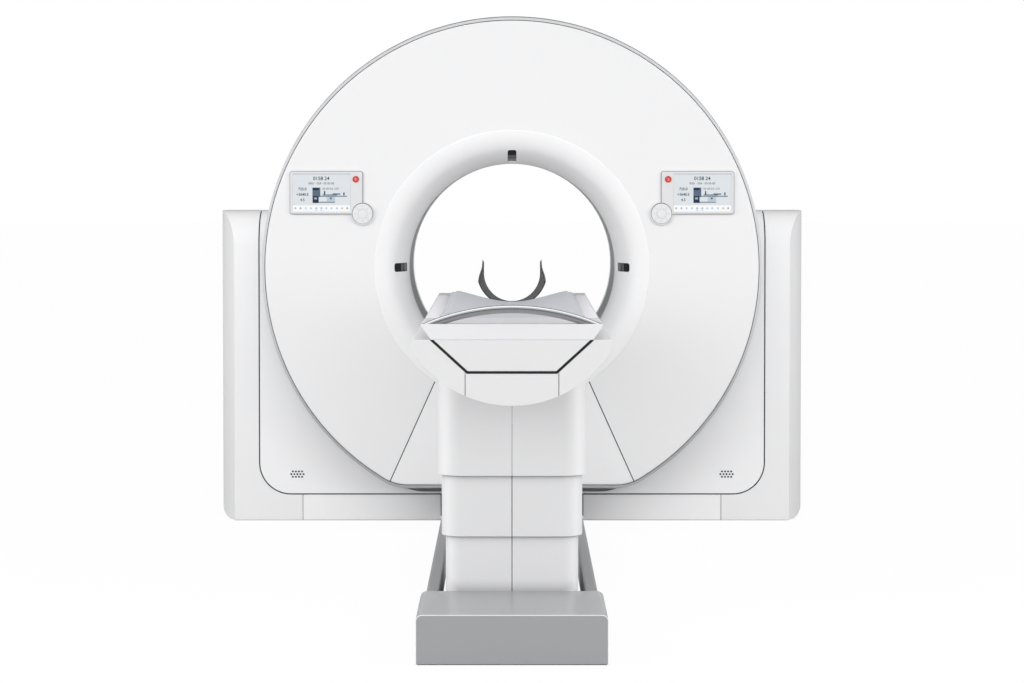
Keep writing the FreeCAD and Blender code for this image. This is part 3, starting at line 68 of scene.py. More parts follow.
def start_material(name, hex_code, roughness, sockets=()):
    """A material with one shader. Returns it with its node tree, the shader and the object coordinates."""
    material = bpy.data.materials.new(name)
    material.use_nodes = True
    tree = material.node_tree
    tree.nodes.clear()
    values = {"Base Color": linear(hex_code), "Roughness": roughness, **dict(sockets)}
    shader = add_node(tree, "ShaderNodeBsdfPrincipled", values=values)
    add_node(tree, "ShaderNodeOutputMaterial", links={"Surface": shader.outputs[0]})
    place = add_node(tree, "ShaderNodeTexCoord").outputs["Object"]
    return material, tree, shader, place


def relief(tree, shader, place, size, height):
    """A fine relief on the surface: its grains are size across and height high, in metres."""
    noise = add_node(tree, "ShaderNodeTexNoise", values={"Scale": 1 / size}, links={"Vector": place})
    bump = add_node(tree, "ShaderNodeBump", values={"Distance": height}, links={"Height": noise.outputs[0]})
    tree.links.new(bump.outputs[0], shader.inputs["Normal"])


def shade_up(tree, shader, place, low, high, dark, light):
    """Paints shade by height: the colour goes from one hex value at low to another at high, in metres."""
    height = add_node(tree, "ShaderNodeSeparateXYZ", links={"Vector": place}).outputs["Z"]
    share = add_node(
        tree, "ShaderNodeMapRange", {"interpolation_type": "SMOOTHSTEP"}, {"From Min": low, "From Max": high}, {"Value": height}
    )
    mix = add_node(tree, "ShaderNodeMix", {"data_type": "RGBA"}, links={0: share.outputs[0]})
    mix.inputs[6].default_value = linear(dark)
    mix.inputs[7].default_value = linear(light)
    tree.links.new(mix.outputs[2], shader.inputs["Base Color"])


def painted_light_and_shade(tree, shader, facing, turned):
    """Paints light and shade in: lighter where a surface turns from the eye, a painted shadow close under an edge."""
    # Painted highlight: the colour lightens where the surface turns away from the eye.
    weight = add_node(tree, "ShaderNodeLayerWeight", values={"Blend": 0.5})
    ramp = add_node(tree, "ShaderNodeValToRGB", links={"Fac": weight.outputs["Facing"]})
    ramp.color_ramp.elements[0].position = 0.02
    ramp.color_ramp.elements[0].color = linear(facing)
    ramp.color_ramp.elements[1].position = 0.3
    ramp.color_ramp.elements[1].color = linear(turned)
    # Painted shadow: ambient occlusion darkens the colour towards grey close under an edge.
    nook = add_node(tree, "ShaderNodeAmbientOcclusion", {"samples": 8}, {"Distance": 0.04})
    open_share = add_node(
        tree, "ShaderNodeMapRange", {}, {"From Min": 0.45, "From Max": 0.95}, {"Value": nook.outputs["AO"]}
    )
    mix = add_node(tree, "ShaderNodeMix", {"data_type": "RGBA"}, links={0: open_share.outputs[0], 7: ramp.outputs[0]})
    mix.inputs[6].default_value = linear("#b2b2b4")
    tree.links.new(mix.outputs[2], shader.inputs["Base Color"])


def finish_nodes(material, *names):
    """Gives CAD nodes that stay in view their finish."""
    for name in names:
        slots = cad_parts[name].data.materials
        slots.clear()
        slots.append(material)


frame_coat, tree, shader, place = start_material("powder_coated_steel", "#46484c", 0.55)
relief(tree, shader, place, 0.0012, 0.00008)
finish_nodes(frame_coat, "gantry_base_frame", "stator_frame", "table_base_plate", "table_chassis_beam")


# ---- Bearing and rotor: the ring of machined aluminium turns in a large steel bearing, with the tube, collimator,
# detectors and generator on it. Power crosses a brass slip ring, and cast coils drive the rim.

turned_aluminium, tree, shader, place = start_material("turned_aluminium", "#c3c4c6", 0.34, {"Metallic": 1.0})
relief(tree, shader, place, 0.0015, 0.00005)
finish_nodes(turned_aluminium, "rotor_drum", "detector_array")

ground_steel, tree, shader, place = start_material("ground_steel", "#a9a9ab", 0.28, {"Metallic": 1.0})
relief(tree, shader, place, 0.001, 0.00003)
finish_nodes(ground_steel, "bearing_inner_ring", "bearing_outer_ring")
finish_nodes(ground_steel, "lift_column_outer", "lift_column_middle", "lift_column_top")

# The brass has a polished track every 9 mm, with a dark insulating ring between two tracks.
track_brass, tree, shader, place = start_material("brass_tracks", "#c9a35a", 0.25, {"Metallic": 1.0})
wave = add_node(
    tree, "ShaderNodeTexWave", {"bands_direction": "Y"}, {"Scale": 1 / (0.009 * 3.18)}, {"Vector": place}
)
tracks = add_node(tree, "ShaderNodeValToRGB", links={"Fac": wave.outputs["Fac"]})
tracks.color_ramp.elements[0].position = 0.22
tracks.color_ramp.elements[0].color = linear("#2b2622")
tracks.color_ramp.elements[1].position = 0.3
tracks.color_ramp.elements[1].color = linear("#c9a35a")
tree.links.new(tracks.outputs[0], shader.inputs["Base Color"])
finish_nodes(track_brass, "slip_ring")

cast_resin, tree, shader, place = start_material("cast_resin", "#1d1d20", 0.5)
relief(tree, shader, place, 0.003, 0.0001)
finish_nodes(cast_resin, "drive_coils", "brush_block")

machine_paint, tree, shader, place = start_material("machine_enamel", "#9a9ca0", 0.35)
relief(tree, shader, place, 0.002, 0.00006)
finish_nodes(machine_paint, "xray_tube", "collimator", "hv_generator")


# ---- Floor housing: two wings, two inner panels, toe covers and a rear panel, moulded in polyurethane foam and
# painted satin white. The paint shows a soft sheen, and each cover's edges are rolled over by a millimetre or two.

COVER_EDGE = 0.0016

cover_paint, tree, shader, place = start_material("satin_white_paint", "#f9f9fa", 0.42, {"Coat Weight": 0.05})
relief(tree, shader, place, 0.002, 0.00002)
# The wings' paint goes darker towards the floor: painted shade.
wing_paint, tree, shader, place = start_material("satin_wing_paint", "#f5f5f6", 0.42, {"Coat Weight": 0.05})
shade_up(tree, shader, place, 0.0, 1.1, "#f1f1f2", "#fcfcfd")
relief(tree, shader, place, 0.002, 0.00002)


def roll_edges(piece, edge, sharp=35):
    """Rolls the piece's edges over by a bevel, smooths its curves and leaves its flats flat."""
    bpy.ops.object.select_all(action="DESELECT")
    bpy.context.view_layer.objects.active = piece
    piece.select_set(True)
    bpy.ops.object.shade_smooth_by_angle(angle=math.radians(sharp))
    bevel = piece.modifiers.new("rolled_edges", "BEVEL")
    bevel.width = edge
    bevel.segments = 3
    bevel.limit_method = "ANGLE"
    bevel.angle_limit = math.radians(sharp)
    bevel.harden_normals = True
    bpy.ops.object.modifier_apply(modifier=bevel.name)


def joined_copy(name, edge, sharp=35, mend=None):
    """A copy of a CAD node's mesh: triangles joined up, flats made whole, edges rolled over by a bevel."""
    piece = bpy.data.objects.new(name + "_cover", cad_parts[name].data.copy())
    bpy.context.collection.objects.link(piece)
    bpy.ops.object.select_all(action="DESELECT")
    bpy.context.view_layer.objects.active = piece
    piece.select_set(True)
    bpy.ops.mesh.customdata_custom_splitnormals_clear()
    bpy.ops.object.mode_set(mode="EDIT")
    bpy.ops.mesh.select_all(action="SELECT")
    bpy.ops.mesh.remove_doubles(threshold=0.00002)
    if mend:
        mend(piece)
    middle = sum((mathutils.Vector(corner) for corner in piece.bound_box), mathutils.Vector()) / 8
    for normal in ((1, 0, 0), (0, 0, 1)):
        bpy.ops.mesh.select_all(action="SELECT")
        bpy.ops.mesh.bisect(plane_co=middle, plane_no=normal)
        bpy.ops.mesh.mark_seam()
    bpy.ops.mesh.select_all(action="SELECT")
    bpy.ops.mesh.dissolve_limited(angle_limit=math.radians(0.3), delimit={"SEAM"})
    bpy.ops.object.mode_set(mode="OBJECT")
    roll_edges(piece, edge, sharp)
    return piece


def fit(piece, material, body, slot, *nodes):
    """Finishes a piece, lets it ride on its body and stands it for its CAD nodes."""
    piece.data.materials.clear()
    piece.data.materials.append(material)
    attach(piece, body)
    if nodes:
        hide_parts(*nodes)


def drawn_line(name, points):
    """A line through points, drawn by extruding the one corner that is left of a small plane."""
    bpy.ops.object.select_all(action="DESELECT")
    bpy.ops.mesh.primitive_plane_add(size=0.001, location=(0, 0, 0))
    piece = bpy.context.object
    piece.name = name
    bpy.ops.object.mode_set(mode="EDIT")
    bpy.ops.mesh.merge(type="CENTER")
    bpy.ops.transform.translate(value=points[0])
    for start, end in zip(points, points[1:]):
        step = [b - a for a, b in zip(start, end)]
        bpy.ops.mesh.extrude_region_move(TRANSFORM_OT_translate={"value": step})
    bpy.ops.mesh.select_all(action="SELECT")
    bpy.ops.mesh.remove_doubles(threshold=0.000001)
    bpy.ops.object.mode_set(mode="OBJECT")
    return piece


def prism(name, corners, front, back):
    """A straight block along the scan axis with the outline of the given (x, z) corners."""
    line = [(x, front, z) for x, z in corners]
    piece = drawn_line(name, line + [line[0]])
    bpy.ops.object.mode_set(mode="EDIT")
    bpy.ops.mesh.select_all(action="SELECT")
    bpy.ops.mesh.edge_face_add()
    bpy.ops.mesh.extrude_region_move(TRANSFORM_OT_translate={"value": (0, back - front, 0)})
    bpy.ops.mesh.select_all(action="SELECT")
    bpy.ops.mesh.normals_make_consistent(inside=False)
    bpy.ops.object.mode_set(mode="OBJECT")
    return piece


def strip_corners(x, half, low, high):
    """The (x, z) corners of an upright strip."""
    return [(x - half, low), (x + half, low), (x + half, high), (x - half, high)]


def trim(piece, tool, operation):
    """Cuts a piece with a tool, or keeps only what lies inside it. The tool is then thrown away."""
    cut = piece.modifiers.new("trim", "BOOLEAN")
    cut.object = tool
    cut.operation = operation
    cut.solver = "EXACT"
    bpy.ops.object.select_all(action="DESELECT")
    bpy.context.view_layer.objects.active = piece
    piece.select_set(True)
    bpy.ops.object.modifier_apply(modifier=cut.name)
    bpy.data.objects.remove(tool)


for name in ("left_wing_cover", "right_wing_cover"):
    fit(joined_copy(name, COVER_EDGE), wing_paint, "gantry", "cover_white", name)
for name in ("rear_panel", "front_toe_covers"):
    fit(joined_copy(name, COVER_EDGE), cover_paint, "gantry", "cover_white", name)

# Each inner panel is drilled for a loudspeaker: thirteen round holes in rows of four, five and four.
GRILLE_X = 0.852
GRILLE_Z = 0.184
HOLE_R = 0.0040
SEAL_BACK = -0.2506


def hole_drill(name, side):
    """The drill for one loudspeaker: thirteen pins through the panel."""
    pins = []
    for row, count in ((1, 4), (0, 5), (-1, 4)):
        for i in range(count):
            x = side * GRILLE_X + (i - (count - 1) / 2) * 0.0122
            place = (x, -0.2515, GRILLE_Z + row * 0.0107)
            bpy.ops.mesh.primitive_cylinder_add(
                vertices=20, radius=HOLE_R, depth=0.03, location=place, rotation=(math.pi / 2, 0, 0)
            )
            pins.append(bpy.context.object)
    bpy.ops.object.select_all(action="DESELECT")
    for pin in pins:
        pin.select_set(True)
    bpy.context.view_layer.objects.active = pins[0]
    bpy.ops.object.join()
    bpy.ops.object.transform_apply(location=True, rotation=True, scale=True)
    pins[0].name = name
    return pins[0]


def close_grille(piece, side):
    """Fills the eight-sided holes of the CAD panel, so that round ones can be drilled in a clean face."""
    bpy.ops.mesh.select_mode(type="VERT")
    bpy.ops.mesh.select_all(action="DESELECT")
    bpy.ops.object.mode_set(mode="OBJECT")
    for corner in piece.data.vertices:
        near_x = abs(corner.co.x - side * GRILLE_X) < 0.034
        corner.select = near_x and abs(corner.co.z - GRILLE_Z) < 0.018
    bpy.ops.object.mode_set(mode="EDIT")
    bpy.ops.mesh.delete(type="FACE")
    bpy.ops.mesh.select_all(action="DESELECT")
    bpy.ops.mesh.select_non_manifold()
    bpy.ops.mesh.fill_holes(sides=0)


seal_rubber, tree, shader, place = start_material("seal_rubber", "#19191b", 0.7)
relief(tree, shader, place, 0.0008, 0.00003)

for name, side in (("left_inner_panel", -1), ("right_inner_panel", 1)):
    panel = joined_copy(name, COVER_EDGE, mend=lambda piece: close_grille(piece, side))
    trim(panel, hole_drill("drill", side), "DIFFERENCE")
    fit(panel, cover_paint, "gantry", "cover_white", name)
    backing = strip_corners(side * GRILLE_X, 0.035, GRILLE_Z - 0.02, GRILLE_Z + 0.02)
    fit(prism(name + "_grille", backing, -0.2488, -0.2478), seal_rubber, "gantry", "cover_white")
    toe_joint = strip_corners(side * 0.830, 0.0014, 0.004, 0.102)
    fit(prism(name + "_toe_seal", toe_joint, -0.2528, SEAL_BACK), seal_rubber, "gantry", "cover_white")

# The long joint of a wing runs down, round a corner and along the toe. A black strip closes it from behind.
JOINT_X = 1.002
JOINT_Z = 0.105
JOINT_R = 0.125
JOINT_TOP = 1.090
ROLL_R = 0.138
HOUSING_FRONT = -0.254
STRIP_HALF = 0.0022


def joint_line(side, grow):
    """The line of the joint on one side, grown outwards, from its upper end to beside the lift."""
    radius = JOINT_R + grow
    line = [(side * (JOINT_X + grow), JOINT_TOP)]
    for i in range(13):
        turn = math.pi / 2 * i / 12
        across = JOINT_X - JOINT_R + radius * math.cos(turn)
        line.append((side * across, JOINT_Z + JOINT_R - radius * math.sin(turn)))
    return line + [(side * 0.285, JOINT_Z - grow)]


for side in (-1, 1):
    strip = joint_line(side, STRIP_HALF) + joint_line(side, -STRIP_HALF)[::-1]
    fit(prism("wing_seal", strip, -0.2526, SEAL_BACK), seal_rubber, "gantry", "cover_white")
    bend = []
    for radius, turns in ((ROLL_R - 0.0014, range(11)), (ROLL_R - 0.0034, range(10, -1, -1))):
        for i in turns:
            turn = math.pi / 2 * i / 10
            y = HOUSING_FRONT + ROLL_R - radius * math.cos(turn)
            bend.append((side * JOINT_X - STRIP_HALF, y, JOINT_TOP + radius * math.sin(turn)))
    rolled_seal = drawn_line("wing_seal_bend", bend + [bend[0]])
    bpy.ops.object.mode_set(mode="EDIT")
    bpy.ops.mesh.select_all(action="SELECT")
    bpy.ops.mesh.edge_face_add()
    bpy.ops.mesh.extrude_region_move(TRANSFORM_OT_translate={"value": (2 * STRIP_HALF, 0, 0)})
    bpy.ops.mesh.select_all(action="SELECT")
    bpy.ops.mesh.normals_make_consistent(inside=False)
    bpy.ops.object.mode_set(mode="OBJECT")
    fit(rolled_seal, seal_rubber, "gantry", "cover_white")


# Grey strips paint shade: one in the gap under the drum, one along the foot as the housing's shadow on the floor.
painted_shade_grey, tree, shader, place = start_material("painted_shade_strip", "#7d7e81", 0.6)
relief(tree, shader, place, 0.0008, 0.00003)
under_drum = [(-0.56, 0.108), (0.56, 0.108), (0.56, 0.16), (-0.56, 0.16)]
fit(prism("drum_gap_shade_strip", under_drum, -0.2502, -0.2492), painted_shade_grey, "gantry", "cover_white")
foot_shadow_strip = [(-1.100, 0.0004), (1.100, 0.0004), (1.100, 0.0044), (-1.100, 0.0044)]
fit(prism("foot_shadow_strip", foot_shadow_strip, -0.2530, -0.2510), painted_shade_grey, "gantry", "cover_white")


# ---- Drum cover, rims and round faces: a sheet band round the drum, a conical rim at each end and flat round
# covers in the rims. They are painted mouldings; the rims take a greyer copy of the paint as painted shade.

BORE_Z = 1.010
FACE_Y = 0.440
DISC_R = 0.966
DISC_CUT = 0.1146
RIM_R = 0.987
RIM_CUT = 0.1055
RIM_BACK = 0.268
BAND_R = 0.975
BAND_CUT = 0.117
BAND_END = 0.300
LOOP_CORNER = 0.180
MOUTH_R = 0.534

PLATE_R = DISC_R - 0.0043
PLATE_ROLL = 0.009
GROOVE = 0.0024

rim_paint, tree, shader, place = start_material("shaded_rim_paint", "#d6d7d9", 0.32, {"Coat Weight": 0.3})
# The rims darken towards the bottom: painted shade.
shade_up(tree, shader, place, 0.25, 1.1, "#a9aaac", "#d6d7d9")
relief(tree, shader, place, 0.002, 0.00002)
face_paint, tree, shader, place = start_material("satin_face_paint", "#f0f0f1", 0.38, {"Coat Weight": 0.2})
relief(tree, shader, place, 0.002, 0.00002)
# The service cover takes a lighter copy of the face paint: painted light where the table shades it.
service_paint, tree, shader, place = start_material("satin_service_paint", "#f4f4f5", 0.38, {"Coat Weight": 0.2})
relief(tree, shader, place, 0.002, 0.00002)


def drum_outline(radius, cut, y):
    """A closed outline of the drum: a circle whose underside is flat, with both lower corners rounded."""
    low = BORE_Z - radius + cut + LOOP_CORNER
    across = math.sqrt((radius - LOOP_CORNER) ** 2 - (BORE_Z - low) ** 2)
    touch = math.atan2(BORE_Z - low, across)
    line = []
    for i in range(12):
        turn = -math.pi / 2 + (math.pi / 2 - touch) * i / 12
        line.append((across + LOOP_CORNER * math.cos(turn), y, low + LOOP_CORNER * math.sin(turn)))
    for i in range(217):
        turn = -touch + (math.pi + 2 * touch) * i / 216
        line.append((radius * math.cos(turn), y, BORE_Z + radius * math.sin(turn)))
    for i in range(1, 13):
        turn = math.pi + touch + (math.pi / 2 - touch) * i / 12
        line.append((-across + LOOP_CORNER * math.cos(turn), y, low + LOOP_CORNER * math.sin(turn)))
    return line + [line[0]]


def round_outline(radius, y):
    """A full circle about the scan axis, with as many corners as the drum's outline."""
    turns = [-math.pi / 2 + 2 * math.pi * (i + 0.5) / 241 for i in range(241)]
    line = [(radius * math.cos(turn), y, BORE_Z + radius * math.sin(turn)) for turn in turns]
    return line + [line[0]]


def bridged(name, outlines):
    """A closed skin through outlines, from each to the next and from the last back to the first."""
    loops = [drawn_line(name, outline) for outline in outlines]
    bpy.ops.object.select_all(action="DESELECT")
    for loop in loops:
        loop.select_set(True)
    piece = loops[0]
    bpy.context.view_layer.objects.active = piece
    bpy.ops.object.join()
    piece.name = name
    count = len(piece.data.vertices) // len(outlines)
    for i in range(len(outlines)):
        pair = (i, (i + 1) % len(outlines))
        bpy.ops.object.mode_set(mode="EDIT")
        bpy.ops.mesh.select_mode(type="VERT")
        bpy.ops.mesh.select_all(action="DESELECT")
        bpy.ops.object.mode_set(mode="OBJECT")
        for corner in piece.data.vertices:
            corner.select = corner.index // count in pair
        bpy.ops.object.mode_set(mode="EDIT")
        bpy.ops.mesh.bridge_edge_loops()
        bpy.ops.object.mode_set(mode="OBJECT")
    bpy.ops.object.mode_set(mode="EDIT")
    bpy.ops.mesh.select_all(action="SELECT")
    bpy.ops.mesh.normals_make_consistent(inside=False)
    bpy.ops.object.mode_set(mode="OBJECT")
    return piece


for end, side in (("front", -1), ("rear", 1)):
    rim_line = [
        drum_outline(DISC_R + 0.0078, DISC_CUT, side * (FACE_Y - 0.0004)),
        drum_outline(RIM_R, RIM_CUT, side * RIM_BACK),
        drum_outline(BAND_R + 0.0003, BAND_CUT, side * RIM_BACK),
        drum_outline(BAND_R + 0.0003, BAND_CUT, side * (RIM_BACK + 0.004)),
        drum_outline(PLATE_R - 0.001, DISC_CUT, side * 0.4317),
        drum_outline(DISC_R - 0.021, DISC_CUT, side * 0.4317),
        drum_outline(DISC_R - 0.021, DISC_CUT, side * 0.4357),
        drum_outline(PLATE_R + GROOVE, DISC_CUT, side * 0.4357),
        drum_outline(PLATE_R + GROOVE, DISC_CUT, side * FACE_Y),
    ]
    rim = bridged(end + "_rim_ring", rim_line)
    roll_edges(rim, 0.0009)
    fit(rim, rim_paint, "gantry", "cover_white", end + "_rim")
    # Black rubber lines the ledge at the bottom of the groove round each face; its black also paints the groove's
    # shade.
    rim.data.materials.append(seal_rubber)
    for face in rim.data.polygons:
        ledge = abs(abs(face.center.y) - 0.4357) < 0.0003 and abs(face.normal.y) > 0.9
        face.material_index = 1 if ledge else 0

band_line = [
    drum_outline(BAND_R, BAND_CUT, -BAND_END),
    drum_outline(BAND_R, BAND_CUT, BAND_END),
    drum_outline(BAND_R - 0.004, BAND_CUT, BAND_END),
    drum_outline(BAND_R - 0.004, BAND_CUT, -BAND_END),
]
band = bridged("drum_wrap", band_line)
stand = [(-0.8352, 0), (0.8352, 0), (0.8352, 0.5227), (-0.8352, 0.5227)]
trim(band, prism("cut", stand, -0.238, 0.248), "DIFFERENCE")
roll_edges(band, 0.0009)
fit(band, cover_paint, "gantry", "cover_white", "drum_band")


def face_plate(name, side):
    """A flat round cover with a rolled outer edge and the hole for the funnel in it."""
    front = side * FACE_Y
    back = side * (FACE_Y - 0.004)
    plate_line = []
    for i in range(6):
        turn = math.pi / 2 * i / 5
        radius = PLATE_R - PLATE_ROLL * (1 - math.sin(turn))
        plate_line.append(drum_outline(radius, DISC_CUT, side * (FACE_Y - 0.0036 * (1 - math.cos(turn)))))
    plate_line.append(drum_outline(PLATE_R, DISC_CUT, back))
    plate_line.append(round_outline(MOUTH_R + 0.0003, back))
    plate_line.append(round_outline(MOUTH_R + 0.0003, front))
    return bridged(name, plate_line)


SEAM_SLOPE = (0.479 - 0.300) / (0.568 - 0.170)


def lower_cover_outline(grow):
    """The service cover's outline, from under the drum to inside the funnel's mouth."""
    top = 0.7015
    top_x = 0.300 - SEAM_SLOPE * (top - 0.568) + grow
    foot_x = 0.300 + SEAM_SLOPE * 0.568 + grow
    return [(-foot_x, 0), (foot_x, 0), (top_x, top), (-top_x, top)]


front_plate = face_plate("front_face_plate", -1)
trim(front_plate, prism("cut", lower_cover_outline(0.0021), -0.45, -0.43), "DIFFERENCE")
roll_edges(front_plate, 0.0011)
fit(front_plate, face_paint, "gantry", "cover_white", "front_cover")
service_plate = face_plate("service_plate", -1)
trim(service_plate, prism("cut", lower_cover_outline(-0.0021), -0.45, -0.43), "INTERSECT")
roll_edges(service_plate, 0.0011)
fit(service_plate, service_paint, "gantry", "cover_white", "front_lower_cover")
for side in (-1, 1):
    foot_x = side * (0.300 + SEAM_SLOPE * (0.568 - 0.172))
    top_x = side * 0.3005
    ends = [(foot_x - 0.002, 0.172), (foot_x + 0.002, 0.172), (top_x + 0.002, 0.5665), (top_x - 0.002, 0.5665)]
    fit(prism("service_seal", ends, -0.4388, -0.4366), seal_rubber, "gantry", "cover_white")
rear_plate = face_plate("rear_face_plate", 1)
roll_edges(rear_plate, 0.0011)
fit(rear_plate, face_paint, "gantry", "cover_white", "rear_cover")


# ---- Funnels and bore tube: a flared mouth at each end leads into the bore. The flares are spun from one profile,
# and the tube between them is a grey thin-walled sleeve that lets the rays through.

BORE_R = 0.410
FLARE_START = 0.250
FLARE_DEPTH = 0.190
FLARE_RISE = 0.124
LIP_R = 0.095
THROAT_R = ((FLARE_DEPTH - LIP_R) ** 2 + FLARE_RISE**2 - LIP_R**2) / (2 * (FLARE_RISE - LIP_R))
TURN = math.atan2(FLARE_DEPTH - LIP_R, THROAT_R - FLARE_RISE)


flare_paint, tree, shader, place = start_material("bright_white_paint", "#f6f6f7", 0.42, {"Coat Weight": 0.1})
relief(tree, shader, place, 0.002, 0.00002)


def spun(name, profile, steps, wall):
    """A ring about the scan axis from (distance along it, radius) points, with a wall behind its inner face."""
    piece = drawn_line(name, [(0, y, BORE_Z + r) for y, r in profile])
    bpy.ops.object.mode_set(mode="EDIT")
    bpy.ops.mesh.select_all(action="SELECT")
    bpy.ops.mesh.spin(steps=steps, angle=2 * math.pi, center=(0, 0, BORE_Z), axis=(0, 1, 0))
    bpy.ops.mesh.select_all(action="SELECT")
    bpy.ops.mesh.remove_doubles(threshold=0.00002)
    bpy.ops.mesh.normals_make_consistent(inside=False)
    bpy.ops.object.mode_set(mode="OBJECT")
    if piece.data.polygons[0].normal.dot(piece.data.polygons[0].center - mathutils.Vector((0, 0, BORE_Z))) > 0:
        bpy.ops.object.mode_set(mode="EDIT")
        bpy.ops.mesh.flip_normals()
        bpy.ops.object.mode_set(mode="OBJECT")
    solid = piece.modifiers.new("wall", "SOLIDIFY")
    solid.thickness = wall
    solid.offset = -1
    bpy.ops.object.modifier_apply(modifier=solid.name)
    bpy.ops.object.shade_smooth_by_angle(angle=math.radians(40))
    return piece


def flare_profile(side):
    """The flare's line on one side of the gantry, from the bore out to the face."""
    line = []
    for i in range(15):
        turn = TURN * i / 14
        line.append((FLARE_START + THROAT_R * math.sin(turn), BORE_R + THROAT_R * (1 - math.cos(turn))))
    for i in range(1, 17):
        turn = TURN + (math.pi / 2 - TURN) * i / 16
        depth = FLARE_DEPTH - LIP_R + LIP_R * math.sin(turn)
        line.append((FLARE_START + depth, BORE_R + FLARE_RISE - LIP_R * math.cos(turn)))
    return [(side * y, r) for y, r in line]


front_flare = spun("front_flare", flare_profile(-1), 192, 0.004)
fit(front_flare, flare_paint, "gantry", "cover_white", "front_funnel")
rear_flare = spun("rear_flare", flare_profile(1), 192, 0.004)
fit(rear_flare, flare_paint, "gantry", "cover_white", "rear_funnel")

# A narrow white bead covers the joint between each flare and the face around it; its pure white is a painted
# highlight.
bead_highlight_white, tree, shader, place = start_material("painted_highlight_bead", "#ffffff", 0.25, {"Coat Weight": 0.6})
relief(tree, shader, place, 0.002, 0.00002)
for name, side in (("front_mouth_bead", -1), ("rear_mouth_bead", 1)):
    bpy.ops.object.select_all(action="DESELECT")
    bpy.ops.mesh.primitive_torus_add(
        major_segments=256,
        minor_segments=10,
        major_radius=MOUTH_R + 0.0002,
        minor_radius=0.0024,
        location=(0, side * (FACE_Y + 0.0002), BORE_Z),
        rotation=(math.pi / 2, 0, 0),
    )
    bpy.ops.object.transform_apply(location=True, rotation=True, scale=True)
    bpy.ops.object.shade_smooth()
    bead = bpy.context.object
    bead.name = name
    fit(bead, bead_highlight_white, "gantry", "cover_white")

sleeve_grey, tree, shader, place = start_material("sleeve_laminate", "#a2a4a6", 0.5)
relief(tree, shader, place, 0.002, 0.00004)
sleeve_line = [(-0.2497 + 0.4994 * i / 12, BORE_R) for i in range(13)]
sleeve = spun("bore_sleeve", sleeve_line, 192, 0.004)
fit(sleeve, sleeve_grey, "gantry", "bore_grey", "bore_tube")


# ---- Positioning-light windows: dark acrylic panes set flush in the front flare at the top and on both sides.
# Each has rounded ends, and two bright slits show where the laser lines come out.

WINDOW_HALF_W = 0.0165
WINDOW_FRONT = -0.409
WINDOW_BACK = -0.310

smoked_acrylic, tree, shader, place = start_material("smoked_acrylic", "#1b1c1e", 0.12, {"IOR": 1.49})
along = add_node(tree, "ShaderNodeSeparateXYZ", links={"Vector": place}).outputs["Y"]
slits = add_node(
    tree, "ShaderNodeMapRange", values={"From Min": WINDOW_FRONT, "From Max": WINDOW_BACK}, links={"Value": along}
)
bars = add_node(tree, "ShaderNodeValToRGB", {}, links={"Fac": slits.outputs[0]})
bars.color_ramp.interpolation = "CONSTANT"
bars.color_ramp.elements[0].color = linear("#1b1c1e")
bars.color_ramp.elements[1].position = 0.42
bars.color_ramp.elements[1].color = linear("#6f7173")
for position, shade in ((0.49, "#1b1c1e"), (0.72, "#8b8d8f"), (0.78, "#1b1c1e")):
    stop = bars.color_ramp.elements.new(position)
    stop.color = linear(shade)
tree.links.new(bars.outputs[0], shader.inputs["Base Color"])


def window_post(name, turn, grow):
    """A straight post with the rounded outline of a window, standing on the bore and turned about its axis."""
    bpy.ops.object.select_all(action="DESELECT")
    middle = (0, (WINDOW_FRONT + WINDOW_BACK) / 2, BORE_Z + BORE_R - 0.02)
    bpy.ops.mesh.primitive_plane_add(size=1, location=middle)
    post = bpy.context.object
    post.name = name
    post.scale = (2 * (WINDOW_HALF_W + grow), WINDOW_BACK - WINDOW_FRONT + 2 * grow, 1)
    bpy.ops.object.transform_apply(location=True, rotation=False, scale=True)
    bpy.ops.object.mode_set(mode="EDIT")
    bpy.ops.mesh.select_all(action="SELECT")
    bpy.ops.mesh.bevel(offset=0.008, segments=5, affect="VERTICES")
    bpy.ops.mesh.select_all(action="SELECT")
    bpy.ops.mesh.extrude_region_move(TRANSFORM_OT_translate={"value": (0, 0, 0.17)})
    bpy.ops.mesh.select_all(action="SELECT")
    bpy.ops.mesh.normals_make_consistent(inside=False)
    bpy.ops.object.mode_set(mode="OBJECT")
    post.location = (0, 0, -BORE_Z)
    bpy.ops.object.transform_apply(location=True, rotation=False, scale=False)
    post.rotation_euler = (0, math.radians(turn), 0)
    post.location = (0, 0, BORE_Z)
    bpy.ops.object.transform_apply(location=True, rotation=True, scale=False)
    return post


for side, turn in (("left", -90), ("top", 0), ("right", 90)):
    pane = spun("pane_" + side, flare_profile(-1), 192, 0.0036)
    trim(pane, window_post("post", turn, 0), "INTERSECT")
    bpy.ops.object.shade_smooth_by_angle(angle=math.radians(40))
    fit(pane, smoked_acrylic, "gantry", "window_dark", "laser_windows")
    trim(front_flare, window_post("post", turn, 0.0006), "DIFFERENCE")
bpy.ops.object.shade_smooth_by_angle(angle=math.radians(40))


# ---- Displays: two white housings on the round face, each with a screen, a round stop button and a dial pad.
# The screens show the same page of settings: headings, read-outs, a picture of the table and a row of keys.

SCREEN_X = 0.74025
SCREEN_Z = 1.303
GLASS_Y = -0.4537
STOP_X = 0.607
STOP_Z = 1.355
DIAL_X = 0.581
DIAL_Z = 1.2216
KNOB_Y = -0.457

display_shell, tree, shader, place = start_material("moulded_white_abs", "#e2e2e3", 0.3, {"Coat Weight": 0.2})
relief(tree, shader, place, 0.0012, 0.00002)
gasket_shade_grey, tree, shader, place = start_material("gasket_rubber", "#a0a1a4", 0.6)
relief(tree, shader, place, 0.0008, 0.00002)
DISPLAY_X = 0.722
GASKET_RIM = 0.0032
